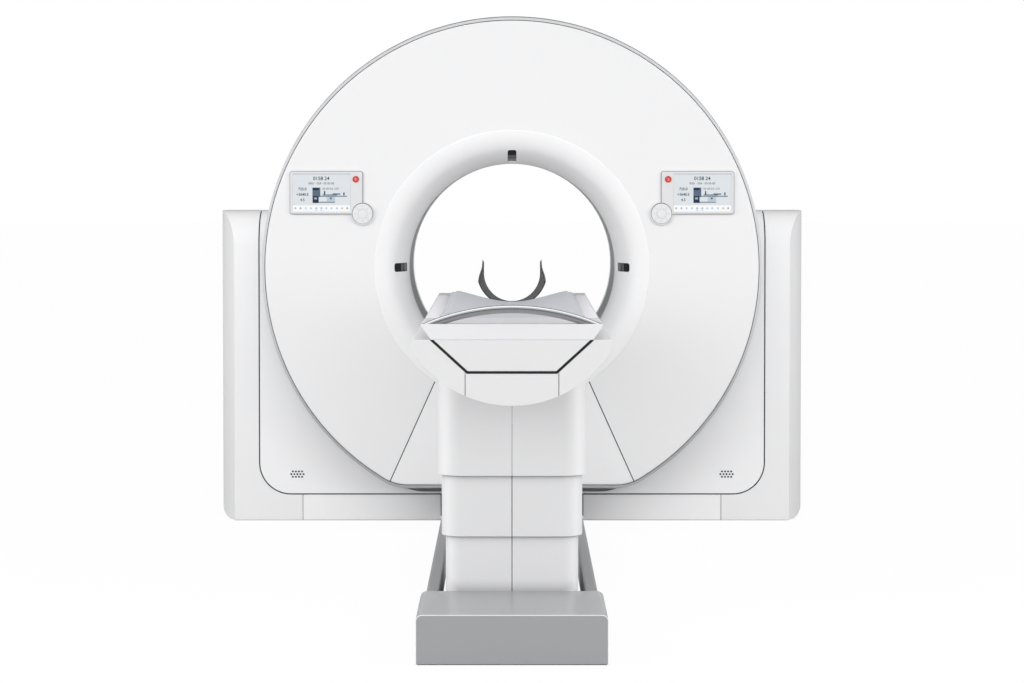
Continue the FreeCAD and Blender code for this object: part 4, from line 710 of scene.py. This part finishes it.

# Each housing sits on a grey gasket that shows as a thin line all round it; its grey also paints the housing's edge
# shade.
for side in ("left", "right"):
    name = side + "_display_housing"
    fit(joined_copy(name, 0.0015), display_shell, "gantry", "display_white", name)
    middle = (DISPLAY_X if side == "right" else -DISPLAY_X, -0.4399, SCREEN_Z)
    bpy.ops.object.select_all(action="DESELECT")
    bpy.ops.mesh.primitive_plane_add(size=1, location=middle, rotation=(math.pi / 2, 0, 0))
    gasket = bpy.context.object
    gasket.name = side + "_display_gasket"
    gasket.scale = (0.280 + 2 * GASKET_RIM, 0.163 + 2 * GASKET_RIM, 1)
    bpy.ops.object.transform_apply(location=True, rotation=True, scale=True)
    bpy.ops.object.mode_set(mode="EDIT")
    bpy.ops.mesh.select_all(action="SELECT")
    bpy.ops.mesh.bevel(offset=0.008 + GASKET_RIM, segments=6, affect="VERTICES")
    bpy.ops.mesh.select_all(action="SELECT")
    bpy.ops.mesh.extrude_region_move(TRANSFORM_OT_translate={"value": (0, -0.0008, 0)})
    bpy.ops.mesh.select_all(action="SELECT")
    bpy.ops.mesh.normals_make_consistent(inside=False)
    bpy.ops.object.mode_set(mode="OBJECT")
    fit(gasket, gasket_shade_grey, "gantry", "display_white")
screen_glass, tree, shader, place = start_material("screen_glass", "#dde2e6", 0.15)
finish_nodes(screen_glass, "left_screen", "right_screen")

# The picture lies on the glass as flat shapes, in steps of a tenth of a millimetre.
PICTURE_SHAPES = (
    # The first shape, a darker band along the top of the glass, is painted shadow from the housing's edge.
    ("#ccd2d8", 0, 71.5, 223, 5, 0),
    ("#f7f8f9", 0, -61.6, 223, 24.5, 0),
    ("#57697c", -20, 1.5, 30.5, 37, 0),
    ("#14314d", -23, -27, 24, 26, 0),
    ("#14314d", -23, 14, 24, 9, 1),
    ("#3c5870", 47, -13.9, 103.5, 3.2, 1),
    ("#6c8496", 32, -8.6, 56, 4.4, 1),
    ("#2f4a60", 12, -1.5, 5, 16, 1),
    ("#2f4a60", 87, -4.5, 5, 12, 1),
    ("#8299a9", 58, -5.5, 30, 7, 1),
    ("#b8c9d2", 36.6, -25.3, 32.3, 18.5, 0),
    ("#3c5870", 36.1, -22.1, 7, 7, 1),
    ("#3c5870", 20.6, -37, 63.3, 3.2, 1),
    ("#7fb4e8", -20.5, -69, 9, 1.6, 1),
    ("#7fb4e8", -0.6, -69, 9, 1.6, 1),
)
PICTURE_DIGITS = (
    ("#1f3d57", "0158 24", -1, 54.9, 19.5),
    ("#6a7986", "0001 · 024 · 00 00 00", -1, 35.8, 11.5),
    ("#2f4a60", "725.0", -74.4, 13.9, 14.5),
    ("#2f4a60", "+3640.5", -74.4, -7.2, 14.5),
    ("#2f4a60", "4.5", -74.4, -28.3, 14.5),
    ("#e6edf2", "00", -23, -22.6, 11.0),
    ("#5c6d7b", "120 250 0.5 1.375", 34, 15.2, 9.2),
)
KEY_SPOTS = (
    ("#7b8a97", -101.7),
    ("#7b8a97", -81.6),
    ("#7fb4e8", -61.5),
    ("#7fb4e8", -41.1),
    ("#7b8a97", -20.5),
    ("#7b8a97", -0.6),
    ("#7fb4e8", 18.5),
    ("#7fb4e8", 38.4),
    ("#7fb4e8", 59.7),
    ("#c9a24a", 80.1),
    ("#5f7285", 100.0),
)
inks = {}


def screen_ink(hex_code):
    """The glow of one colour on the screen, soft enough to stay a printed colour in the white room."""
    if hex_code not in inks:
        inks[hex_code] = start_material("screen_colour_" + hex_code[1:], hex_code, 0.25)[0]
    return inks[hex_code]


def flat_shape(kind, hex_code, x, z, wide, high, layer, words=""):
    """One flat shape of the picture, already in its place on the left-hand side of a screen."""
    bpy.ops.object.select_all(action="DESELECT")
    stand = (x, GLASS_Y - 0.00006 * (layer + 1), z)
    upright = (math.pi / 2, 0, 0)
    if kind == "bar":
        bpy.ops.mesh.primitive_plane_add(size=1, location=stand, rotation=upright)
        bpy.context.object.scale = (wide, high, 1)
    elif kind == "disc":
        bpy.ops.mesh.primitive_circle_add(
            vertices=24, radius=wide / 2, fill_type="NGON", location=stand, rotation=upright
        )
    else:
        bpy.ops.object.text_add(location=stand, rotation=upright)
        bpy.context.object.data.body = words
        bpy.context.object.data.size = high
        bpy.context.object.data.align_x = "CENTER"
        bpy.context.object.data.align_y = "CENTER"
        bpy.context.object.data.offset = 0.0003 if high > 0.014 else 0.00015
        bpy.ops.object.convert(target="MESH")
    bpy.ops.object.transform_apply(location=True, rotation=True, scale=True)
    shape = bpy.context.object
    shape.data.materials.clear()
    shape.data.materials.append(screen_ink(hex_code))
    return shape


for side, x0 in (("left", -SCREEN_X), ("right", SCREEN_X)):
    shapes = []
    for hex_code, dx, dz, wide, high, layer in PICTURE_SHAPES:
        place_x, place_z = x0 + dx / 1000, SCREEN_Z + dz / 1000
        shapes.append(flat_shape("bar", hex_code, place_x, place_z, wide / 1000, high / 1000, layer))
    for hex_code, words, dx, dz, high in PICTURE_DIGITS:
        shapes.append(flat_shape("words", hex_code, x0 + dx / 1000, SCREEN_Z + dz / 1000, 0, high / 1000, 2, words))
    for hex_code, dx in KEY_SPOTS:
        shapes.append(flat_shape("disc", hex_code, x0 + dx / 1000, SCREEN_Z - 0.0606, 0.0072, 0, 1))
        shapes.append(flat_shape("disc", "#f7f8f9", x0 + dx / 1000, SCREEN_Z - 0.0606, 0.003, 0, 2))
    bpy.ops.object.select_all(action="DESELECT")
    for shape in shapes:
        shape.select_set(True)
    bpy.context.view_layer.objects.active = shapes[0]
    bpy.ops.object.join()
    picture = shapes[0]
    picture.name = side + "_screen_picture"
    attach(picture, "gantry")

# Every housing has a raised stop button with a pale twist mark, and a dial pad with four marked keys round a knob.
stop_red, tree, shader, place = start_material("stop_red", "#d5302f", 0.25, {"Coat Weight": 0.4})
pad_rubber, tree, shader, place = start_material("pad_rubber", "#e6e7e8", 0.4)
relief(tree, shader, place, 0.0006, 0.00002)
mark_ink, tree, shader, place = start_material("grey_mark_ink", "#a9acaf", 0.5)
pale_ink, tree, shader, place = start_material("pale_mark_ink", "#f3dcdc", 0.5)


def mark(name, kind, x, y, z, wide, high, turn, material, body, slot):
    """A printed mark a tenth of a millimetre thick: a bar or a ring facing the front."""
    bpy.ops.object.select_all(action="DESELECT")
    if kind == "bar":
        bpy.ops.mesh.primitive_cube_add(size=1, location=(x, y, z))
        bpy.context.object.scale = (wide, 0.0001, high)
        bpy.context.object.rotation_euler = (0, math.radians(turn), 0)
    else:
        bpy.ops.mesh.primitive_torus_add(
            major_segments=64,
            minor_segments=8,
            major_radius=wide,
            minor_radius=high,
            location=(x, y, z),
            rotation=(math.pi / 2, 0, 0),
        )
    bpy.ops.object.transform_apply(location=True, rotation=True, scale=True)
    piece = bpy.context.object
    piece.name = name
    fit(piece, material, body, slot)


# A grey disc behind each dial pad, set a little high, shows as a dark crescent above the pad: painted shadow.
shadow_grey, tree, shader, place = start_material("dial_shadow_grey", "#74767a", 0.6)
relief(tree, shader, place, 0.0006, 0.00002)

for side, sign in (("left", -1), ("right", 1)):
    bpy.ops.object.select_all(action="DESELECT")
    shadow_disc_middle = (sign * DIAL_X, -0.45408, DIAL_Z + 0.0012)
    bpy.ops.mesh.primitive_circle_add(
        vertices=96, radius=0.0412, fill_type="NGON", location=shadow_disc_middle, rotation=(math.pi / 2, 0, 0)
    )
    bpy.ops.object.transform_apply(location=True, rotation=True, scale=True)
    bpy.context.object.name = side + "_dial_shadow_disc"
    fit(bpy.context.object, shadow_grey, "gantry", "control_grey")
    for part, material, slot in (
        ("_stop_button", stop_red, "stop_red"),
        ("_dial_pad", pad_rubber, "control_grey"),
        ("_dial_button", pad_rubber, "control_grey"),
    ):
        fit(joined_copy(side + part, 0.0012), material, side + part, slot, side + part)
    body = side + "_stop_button"
    x = sign * STOP_X
    mark(body + "_ring", "ring", x, KNOB_Y + 0.0004, STOP_Z, 0.0062, 0.0005, 0, pale_ink, body, "stop_red")
    mark(body + "_bar", "bar", x, KNOB_Y, STOP_Z, 0.0014, 0.009, 0, pale_ink, body, "stop_red")
    body = side + "_dial_pad"
    x = sign * DIAL_X
    for i in range(4):
        turn = math.radians(45 + 90 * i)
        reach = 0.0285
        place = (x + reach * math.cos(turn), KNOB_Y, DIAL_Z + reach * math.sin(turn))
        mark(body + "_line", "bar", *place, 0.0009, 0.0175, 90 - math.degrees(turn), mark_ink, body, "control_grey")
        turn = math.radians(90 * i)
        place = (x + reach * math.cos(turn), KNOB_Y, DIAL_Z + reach * math.sin(turn))
        mark(body + "_key", "bar", *place, 0.0012, 0.006, 90 - math.degrees(turn), mark_ink, body, "control_grey")


# ---- Table base and floor beams: a steel tread plate box covers the table's foot plate, and two channels on the
# floor carry the cables to the gantry. They are painted pale grey, with a low sheen.

sheet_grey, tree, shader, place = start_material("grey_sheet_paint", "#a3a4a6", 0.3, {"Coat Weight": 0.3})
relief(tree, shader, place, 0.0015, 0.00003)
base_box = joined_copy("table_base_cover", 0.009)
fit(base_box, sheet_grey, "gantry", "table_grey", "table_base_cover")
# The rolled front edge of the box takes a near-white paint: a painted highlight.
painted_edge_highlight, tree, shader, place = start_material("painted_highlight_edge_paint", "#fafafa", 0.2, {"Coat Weight": 0.5})
relief(tree, shader, place, 0.0015, 0.00002)
base_box.data.materials.append(painted_edge_highlight)
base_front = min(corner.co.y for corner in base_box.data.vertices)
for face in base_box.data.polygons:
    rolled = -0.98 < face.normal.y < -0.2 and face.center.y < base_front + 0.01
    face.material_index = 1 if rolled and face.center.z > 0.03 else 0
# The floor beams take a darker copy of the grey sheet paint: painted shade.
shaded_beam_paint, tree, shader, place = start_material("shaded_grey_sheet_paint", "#949597", 0.4)
relief(tree, shader, place, 0.0015, 0.00003)
for name in ("left_floor_beam", "right_floor_beam"):
    fit(joined_copy(name, 0.002), shaded_beam_paint, "gantry", "table_grey", name)


# ---- Lift: three nested tiers hide the telescoping column. Each is moulded in two halves that meet in the middle.

# Tier paints with painted light and shade. The lower tiers' darker copy is painted shade under the table.
tier_paint, tree, shader, place = start_material("satin_tier_paint", "#f8f8f9", 0.4, {"Coat Weight": 0.15})
painted_light_and_shade(tree, shader, "#e6e6e7", "#f6f6f7")
relief(tree, shader, place, 0.002, 0.00002)
shaded_tier_paint, tree, shader, place = start_material("satin_low_tier_paint", "#ebebec", 0.4, {"Coat Weight": 0.15})
painted_light_and_shade(tree, shader, "#e4e4e5", "#f4f4f5")
relief(tree, shader, place, 0.002, 0.00002)
table_paint, tree, shader, place = start_material("satin_table_paint", "#ebebec", 0.38, {"Coat Weight": 0.2})
relief(tree, shader, place, 0.002, 0.00002)
TIER_FRONT = -3.072
for name, body, grow, low, high in (
    ("fixed_tier", "gantry", 0.0, 0.016, 0.404),
    ("middle_tier", "middle_stage", 0.012, 0.309, 0.579),
    ("top_tier", "table", 0.024, 0.491, 0.640),
):
    paint = tier_paint if name == "top_tier" else shaded_tier_paint
    fit(joined_copy(name, 0.002), paint, body, "table_white", name)
    front = TIER_FRONT - grow
    middle_joint = strip_corners(0, 0.001, low, high)
    fit(prism(name + "_seal", middle_joint, front + 0.0005, front + 0.002), seal_rubber, body, "table_white")


# ---- Table housing: a long tray with a round belly, closed at the foot end by three moulded panels.

for name in ("table_housing", "housing_front_panels"):
    fit(joined_copy(name, 0.0015), table_paint, "table", "table_white", name)


PANEL_FRONT = -3.633
for side in (-1, 1):
    joint = strip_corners(side * 0.1297, 0.0009, 0.7705, 0.829)
    fit(prism("panel_seal", joint, PANEL_FRONT + 0.0012, PANEL_FRONT + 0.003), seal_rubber, "table", "table_white")


def channel_outline(grow, top):
    """The V of the joint between the housing and the cradle's end panel, grown outwards from its middle."""
    low_x = 0.124 + grow * math.tan(math.radians(21.2))
    low_z = 0.834 - grow
    top_x = low_x + (top - low_z) / math.tan(math.radians(42.4))
    return [(-low_x, low_z), (low_x, low_z), (top_x, top), (-top_x, top)]


seal = prism("channel_seal", channel_outline(0.0037, 0.923), PANEL_FRONT - 0.0005, PANEL_FRONT - 0.0001)
trim(seal, prism("cut", channel_outline(-0.0037, 0.94), PANEL_FRONT - 0.01, PANEL_FRONT + 0.01), "DIFFERENCE")
fit(seal, seal_rubber, "table", "table_white")


# ---- Cradle: a carbon sandwich board with flared rails. It ends in a moulded cap with a pull handle over it.

board_skin, tree, shader, place = start_material("cradle_gelcoat", "#efeff1", 0.35)
relief(tree, shader, place, 0.003, 0.00003)
fit(joined_copy("cradle_shell", 0.002), board_skin, "cradle", "cradle_white", "cradle_shell")
cap_paint, tree, shader, place = start_material("satin_cap_paint", "#dedee0", 0.38, {"Coat Weight": 0.2})
relief(tree, shader, place, 0.002, 0.00002)
for name, paint in (("cradle_end_panel", table_paint), ("cradle_foot_cap", cap_paint)):
    fit(joined_copy(name, 0.0015), paint, "cradle", "table_white", name)

glide_plastic, tree, shader, place = start_material("glide_strip", "#2a2b2e", 0.45)
relief(tree, shader, place, 0.0008, 0.00002)
finish_nodes(glide_plastic, "cradle_runners")


# ---- Mat and headrest: a foam mat in coated fabric lies in the trough of the board. The head lies in a black shell
# with a thin foam liner, moulded as a widening half cone whose rim ends in two thin upright horns.

mat_cover, tree, shader, place = start_material("coated_fabric", "#b6bac1", 0.5, {"Sheen Weight": 0.1})
relief(tree, shader, place, 0.0012, 0.00004)


def swell(piece, voxel, pressure, cap):
    """Blows a soft piece up a little from inside. No point moves further than cap, or down into its bed."""
    bpy.ops.object.select_all(action="DESELECT")
    bpy.context.view_layer.objects.active = piece
    piece.select_set(True)
    remesh = piece.modifiers.new("even_mesh", "REMESH")
    remesh.mode = "VOXEL"
    remesh.voxel_size = voxel
    bpy.ops.object.modifier_apply(modifier=remesh.name)
    start = [corner.co.copy() for corner in piece.data.vertices]
    facing = [corner.normal.z for corner in piece.data.vertices]
    cloth = piece.modifiers.new("air", "CLOTH")
    cloth.settings.use_pressure = True
    cloth.settings.uniform_pressure_force = pressure
    cloth.settings.effector_weights.gravity = 0
    cloth.collision_settings.use_collision = False
    for frame_number in range(1, 21):
        bpy.context.scene.frame_set(frame_number)
    bpy.ops.object.modifier_apply(modifier=cloth.name)
    for corner, home, up in zip(piece.data.vertices, start, facing):
        step = corner.co - home
        if step.length > cap:
            step *= cap / step.length
        if up < 0:
            step.z = max(step.z, 0)
        corner.co = home + step
    bpy.ops.object.shade_smooth()


mat = joined_copy("cradle_mat", 0.004)
bpy.ops.object.mode_set(mode="EDIT")
bpy.ops.mesh.select_all(action="SELECT")
bpy.ops.transform.shrink_fatten(value=-0.002)
bpy.ops.object.mode_set(mode="OBJECT")
swell(mat, 0.006, 4, 0.005)
fit(mat, mat_cover, "cradle", "mat_grey", "cradle_mat")

REST_NEAR = (-1.793, 0.121)
REST_FAR = (-1.490, 0.104)
REST_BOTTOM = 0.925
RIM_NEAR_Z = 1.012
RIM_FAR_Z = 1.055
HORN = 0.022


def trough_line(share, inset, drop):
    """The U of the headrest at a share of the way from its far end to its near end."""
    y = REST_FAR[0] + (REST_NEAR[0] - REST_FAR[0]) * share
    radius = REST_FAR[1] + (REST_NEAR[1] - REST_FAR[1]) * share
    middle = REST_BOTTOM + radius
    rim = RIM_FAR_Z + (RIM_NEAR_Z - RIM_FAR_Z) * share + HORN * math.exp(-share / 0.05) - drop
    radius -= inset
    lean = math.acos(max(0, (middle - rim) / radius))
    reach = radius * lean + max(0, rim - middle)
    line = []
    for i in range(-20, 21):
        along = reach * i / 20
        turn = max(-lean, min(lean, along / radius))
        rise = abs(along) - radius * abs(turn)
        line.append((radius * math.sin(turn), y, middle - radius * math.cos(turn) + rise))
    return line


def trough(name, inset, wall, drop):
    """A thin shell through the U lines of the headrest, with its wall on the inside."""
    shares = (0, 0.02, 0.05, 0.09, 0.15, 0.25, 0.4, 0.6, 0.8, 1)
    lines = [drawn_line(name, trough_line(share, inset, drop)) for share in shares]
    bpy.ops.object.select_all(action="DESELECT")
    for line in lines:
        line.select_set(True)
    bpy.context.view_layer.objects.active = lines[0]
    bpy.ops.object.join()
    piece = lines[0]
    bpy.ops.object.mode_set(mode="EDIT")
    bpy.ops.mesh.select_all(action="SELECT")
    bpy.ops.mesh.bridge_edge_loops()
    bpy.ops.mesh.select_all(action="SELECT")
    bpy.ops.mesh.normals_make_consistent(inside=False)
    bpy.ops.object.mode_set(mode="OBJECT")
    bottom = min(piece.data.polygons, key=lambda face: face.center.z)
    if bottom.normal.z > 0:
        bpy.ops.object.mode_set(mode="EDIT")
        bpy.ops.mesh.flip_normals()
        bpy.ops.object.mode_set(mode="OBJECT")
    solid = piece.modifiers.new("wall", "SOLIDIFY")
    solid.thickness = wall
    solid.offset = -1
    bpy.ops.object.modifier_apply(modifier=solid.name)
    roll_edges(piece, 0.0006, 50)
    return piece


shell_black, tree, shader, place = start_material("headrest_shell", "#2b2c2e", 0.3, {"Coat Weight": 0.3})
relief(tree, shader, place, 0.0015, 0.00003)
fit(trough("headrest_shell_form", 0, 0.0028, 0), shell_black, "cradle", "headrest_dark", "headrest_shell")
liner_foam, tree, shader, place = start_material("headrest_foam", "#4b4c4e", 0.6)
relief(tree, shader, place, 0.0012, 0.00005)
liner = trough("headrest_liner_form", 0.003, 0.0026, 0.006)
fit(liner, liner_foam, "cradle", "liner_grey", "headrest_liner")
finish_nodes(turned_aluminium, "headrest_bracket")

# The pull handle is a bow of brushed aluminium tube, bent to a wide arc and let into the cap at both ends.
HANDLE_Y = -3.597
BOW_R = 0.6115
BOW_Z = 1.019 - 0.0115 - BOW_R
CAP_TOP = 0.967
bright_tube, tree, shader, place = start_material("brushed_tube", "#a8a9ab", 0.2, {"Metallic": 1.0})
bpy.ops.object.select_all(action="DESELECT")
bpy.ops.mesh.primitive_circle_add(
    vertices=48, radius=0.0115, location=(0, HANDLE_Y, BOW_Z + BOW_R), rotation=(0, math.pi / 2, 0)
)
handle = bpy.context.object
handle.name = "handle_bow"
bpy.ops.object.transform_apply(location=True, rotation=True, scale=True)
bpy.ops.object.mode_set(mode="EDIT")
bpy.ops.mesh.select_all(action="SELECT")
bpy.ops.transform.rotate(value=math.radians(-25), orient_axis="Y", center_override=(0, HANDLE_Y, BOW_Z))
bpy.ops.mesh.spin(steps=120, angle=math.radians(50), center=(0, HANDLE_Y, BOW_Z), axis=(0, 1, 0))
bpy.ops.object.mode_set(mode="OBJECT")
ends = sorted(corner.co.x for corner in handle.data.vertices)
if ends[-1] < 0.2 or ends[0] > -0.2:
    raise SystemExit("the bow of the handle is off its middle")
bpy.ops.object.mode_set(mode="EDIT")
bpy.ops.mesh.select_all(action="SELECT")
bpy.ops.mesh.bisect(plane_co=(0, 0, CAP_TOP), plane_no=(0, 0, -1), clear_outer=True, use_fill=True)
bpy.ops.mesh.select_all(action="SELECT")
bpy.ops.mesh.remove_doubles(threshold=0.00001)
bpy.ops.mesh.normals_make_consistent(inside=False)
bpy.ops.object.mode_set(mode="OBJECT")
bpy.ops.object.shade_smooth_by_angle(angle=math.radians(35))
fit(handle, bright_tube, "cradle", "cradle_white", "cradle_handle")


# ---- Studio: a white room whose light comes mainly from the front, softly, less from the sides and least from above.
# The floor and the background look pure white to the lens, and the floor still takes the machine's shadow.

floor_colour, tree, shader, place = start_material("studio_floor", "#c8c8c8", 0.9)
rays = add_node(tree, "ShaderNodeLightPath")
seen = add_node(
    tree,
    "ShaderNodeMath",
    {"operation": "MAXIMUM"},
    links={0: rays.outputs["Is Camera Ray"], 1: rays.outputs["Is Transmission Ray"]},
)
share = add_node(tree, "ShaderNodeMath", {"operation": "MULTIPLY"}, {1: 0.9}, {0: seen.outputs[0]})
share = add_node(
    tree,
    "ShaderNodeMath",
    {"operation": "MULTIPLY_ADD"},
    {1: 0.25},
    {0: rays.outputs["Is Glossy Ray"], 2: share.outputs[0]},
)
white = add_node(tree, "ShaderNodeEmission", values={"Color": (1, 1, 1, 1), "Strength": 1.05})
blend = add_node(
    tree, "ShaderNodeMixShader", links={0: share.outputs[0], 1: shader.outputs[0], 2: white.outputs[0]}
)
output = next(n for n in tree.nodes if n.bl_idname == "ShaderNodeOutputMaterial")
tree.links.new(blend.outputs[0], output.inputs["Surface"])
bpy.ops.object.select_all(action="DESELECT")
bpy.ops.mesh.primitive_plane_add(size=120, location=(0, 0, -0.0005))
floor = bpy.context.object
floor.name = "studio_floor"
floor.data.materials.append(floor_colour)

world = bpy.data.worlds.new("white_room")
bpy.context.scene.world = world
world.use_nodes = True
tree = world.node_tree
tree.nodes.clear()
direction = add_node(tree, "ShaderNodeTexCoord").outputs["Generated"]
level = add_node(tree, "ShaderNodeValue")
level.outputs[0].default_value = 0.4
total = level.outputs[0]
for toward, power, strength in (((0, -1, 0.1), 8, 2.2), ((-0.94, -0.34, 0.1), 8, 1.0), ((0.94, -0.34, 0.1), 8, 0.85), ((0, 1, 0.2), 3, 0.85)):
    facing = add_node(tree, "ShaderNodeVectorMath", {"operation": "DOT_PRODUCT"}, {1: toward}, {0: direction})
    ahead = add_node(tree, "ShaderNodeMath", {"operation": "MAXIMUM"}, {1: 0.0}, {0: facing.outputs["Value"]})
    lobe = add_node(tree, "ShaderNodeMath", {"operation": "POWER"}, {1: power}, {0: ahead.outputs[0]})
    total = add_node(
        tree, "ShaderNodeMath", {"operation": "MULTIPLY_ADD"}, {1: strength}, {0: lobe.outputs[0], 2: total}
    ).outputs[0]

# Bright metal mirrors a plainer room: grey walls, a white ceiling and a darker end behind the machine.
split = add_node(tree, "ShaderNodeSeparateXYZ", links={0: direction})
ceiling = add_node(
    tree,
    "ShaderNodeMapRange",
    {"interpolation_type": "SMOOTHSTEP"},
    {"From Min": 0.3, "From Max": 0.75, "To Min": 0.3, "To Max": 1.3},
    {"Value": split.outputs["Z"]},
)
far_end = add_node(
    tree,
    "ShaderNodeMapRange",
    {"interpolation_type": "SMOOTHSTEP"},
    {"From Min": 0.1, "From Max": 0.7, "To Min": 1.0, "To Max": 0.12},
    {"Value": split.outputs["Y"]},
)
mirrored = add_node(
    tree, "ShaderNodeMath", {"operation": "MULTIPLY"}, links={0: ceiling.outputs[0], 1: far_end.outputs[0]}
)
rays = add_node(tree, "ShaderNodeLightPath")
strength = add_node(
    tree, "ShaderNodeMix", {"data_type": "FLOAT"}, {}, {0: rays.outputs["Is Glossy Ray"], 2: total, 3: mirrored.outputs[0]}
)
room = add_node(tree, "ShaderNodeBackground", values={"Color": (1, 1, 1, 1)}, links={"Strength": strength.outputs[0]})
backdrop = add_node(tree, "ShaderNodeBackground", values={"Color": (1, 1, 1, 1), "Strength": 1.0})
seen = add_node(
    tree,
    "ShaderNodeMath",
    {"operation": "MAXIMUM"},
    links={0: rays.outputs["Is Camera Ray"], 1: rays.outputs["Is Transmission Ray"]},
)
blend = add_node(
    tree, "ShaderNodeMixShader", links={0: seen.outputs[0], 1: room.outputs[0], 2: backdrop.outputs[0]}
)
add_node(tree, "ShaderNodeOutputWorld", links={"Surface": blend.outputs[0]})


def soft_box(name, place, size, power, at=(0, -0.5, 1.0)):
    """A square soft light on a stand, turned towards the middle of the gantry or another point."""
    bpy.ops.object.light_add(type="AREA", location=place)
    lamp = bpy.context.object
    lamp.name = name
    lamp.data.shape = "RECTANGLE"
    lamp.data.size, lamp.data.size_y = size
    lamp.data.energy = power
    aim = mathutils.Vector(at) - mathutils.Vector(place)
    lamp.rotation_euler = aim.to_track_quat("-Z", "Y").to_euler()


soft_box("left_soft_box", (-5, -6, 3.5), (3, 3), 68)
soft_box("right_soft_box", (5, -6, 3.5), (3, 3), 45)
soft_box("low_left_soft_box", (-3.5, -4.0, 0.9), (1.6, 1.0), 8, (0, -0.5, 0.6))
soft_box("low_right_soft_box", (3.5, -4.0, 0.9), (1.6, 1.0), 13, (0, -0.5, 0.6))
soft_box("table_soft_box", (0, -3.4, 2.5), (2.5, 1.5), 15, (0, -3.5, 0.9))


# ---- Camera: a long lens in front of the foot end, a little above the scan axis and tilted down at it.

bpy.ops.object.camera_add(location=(0, -11.426, 1.400))
camera = bpy.context.object
camera.name = "camera"
camera.data.lens = 99.23
camera.data.sensor_width = 36
camera.data.shift_y = -0.0744
camera.data.clip_end = 300
camera.rotation_euler = (math.radians(90 - 1.98), 0, 0)
bpy.context.scene.camera = camera
bpy.context.scene.view_settings.view_transform = "Standard"
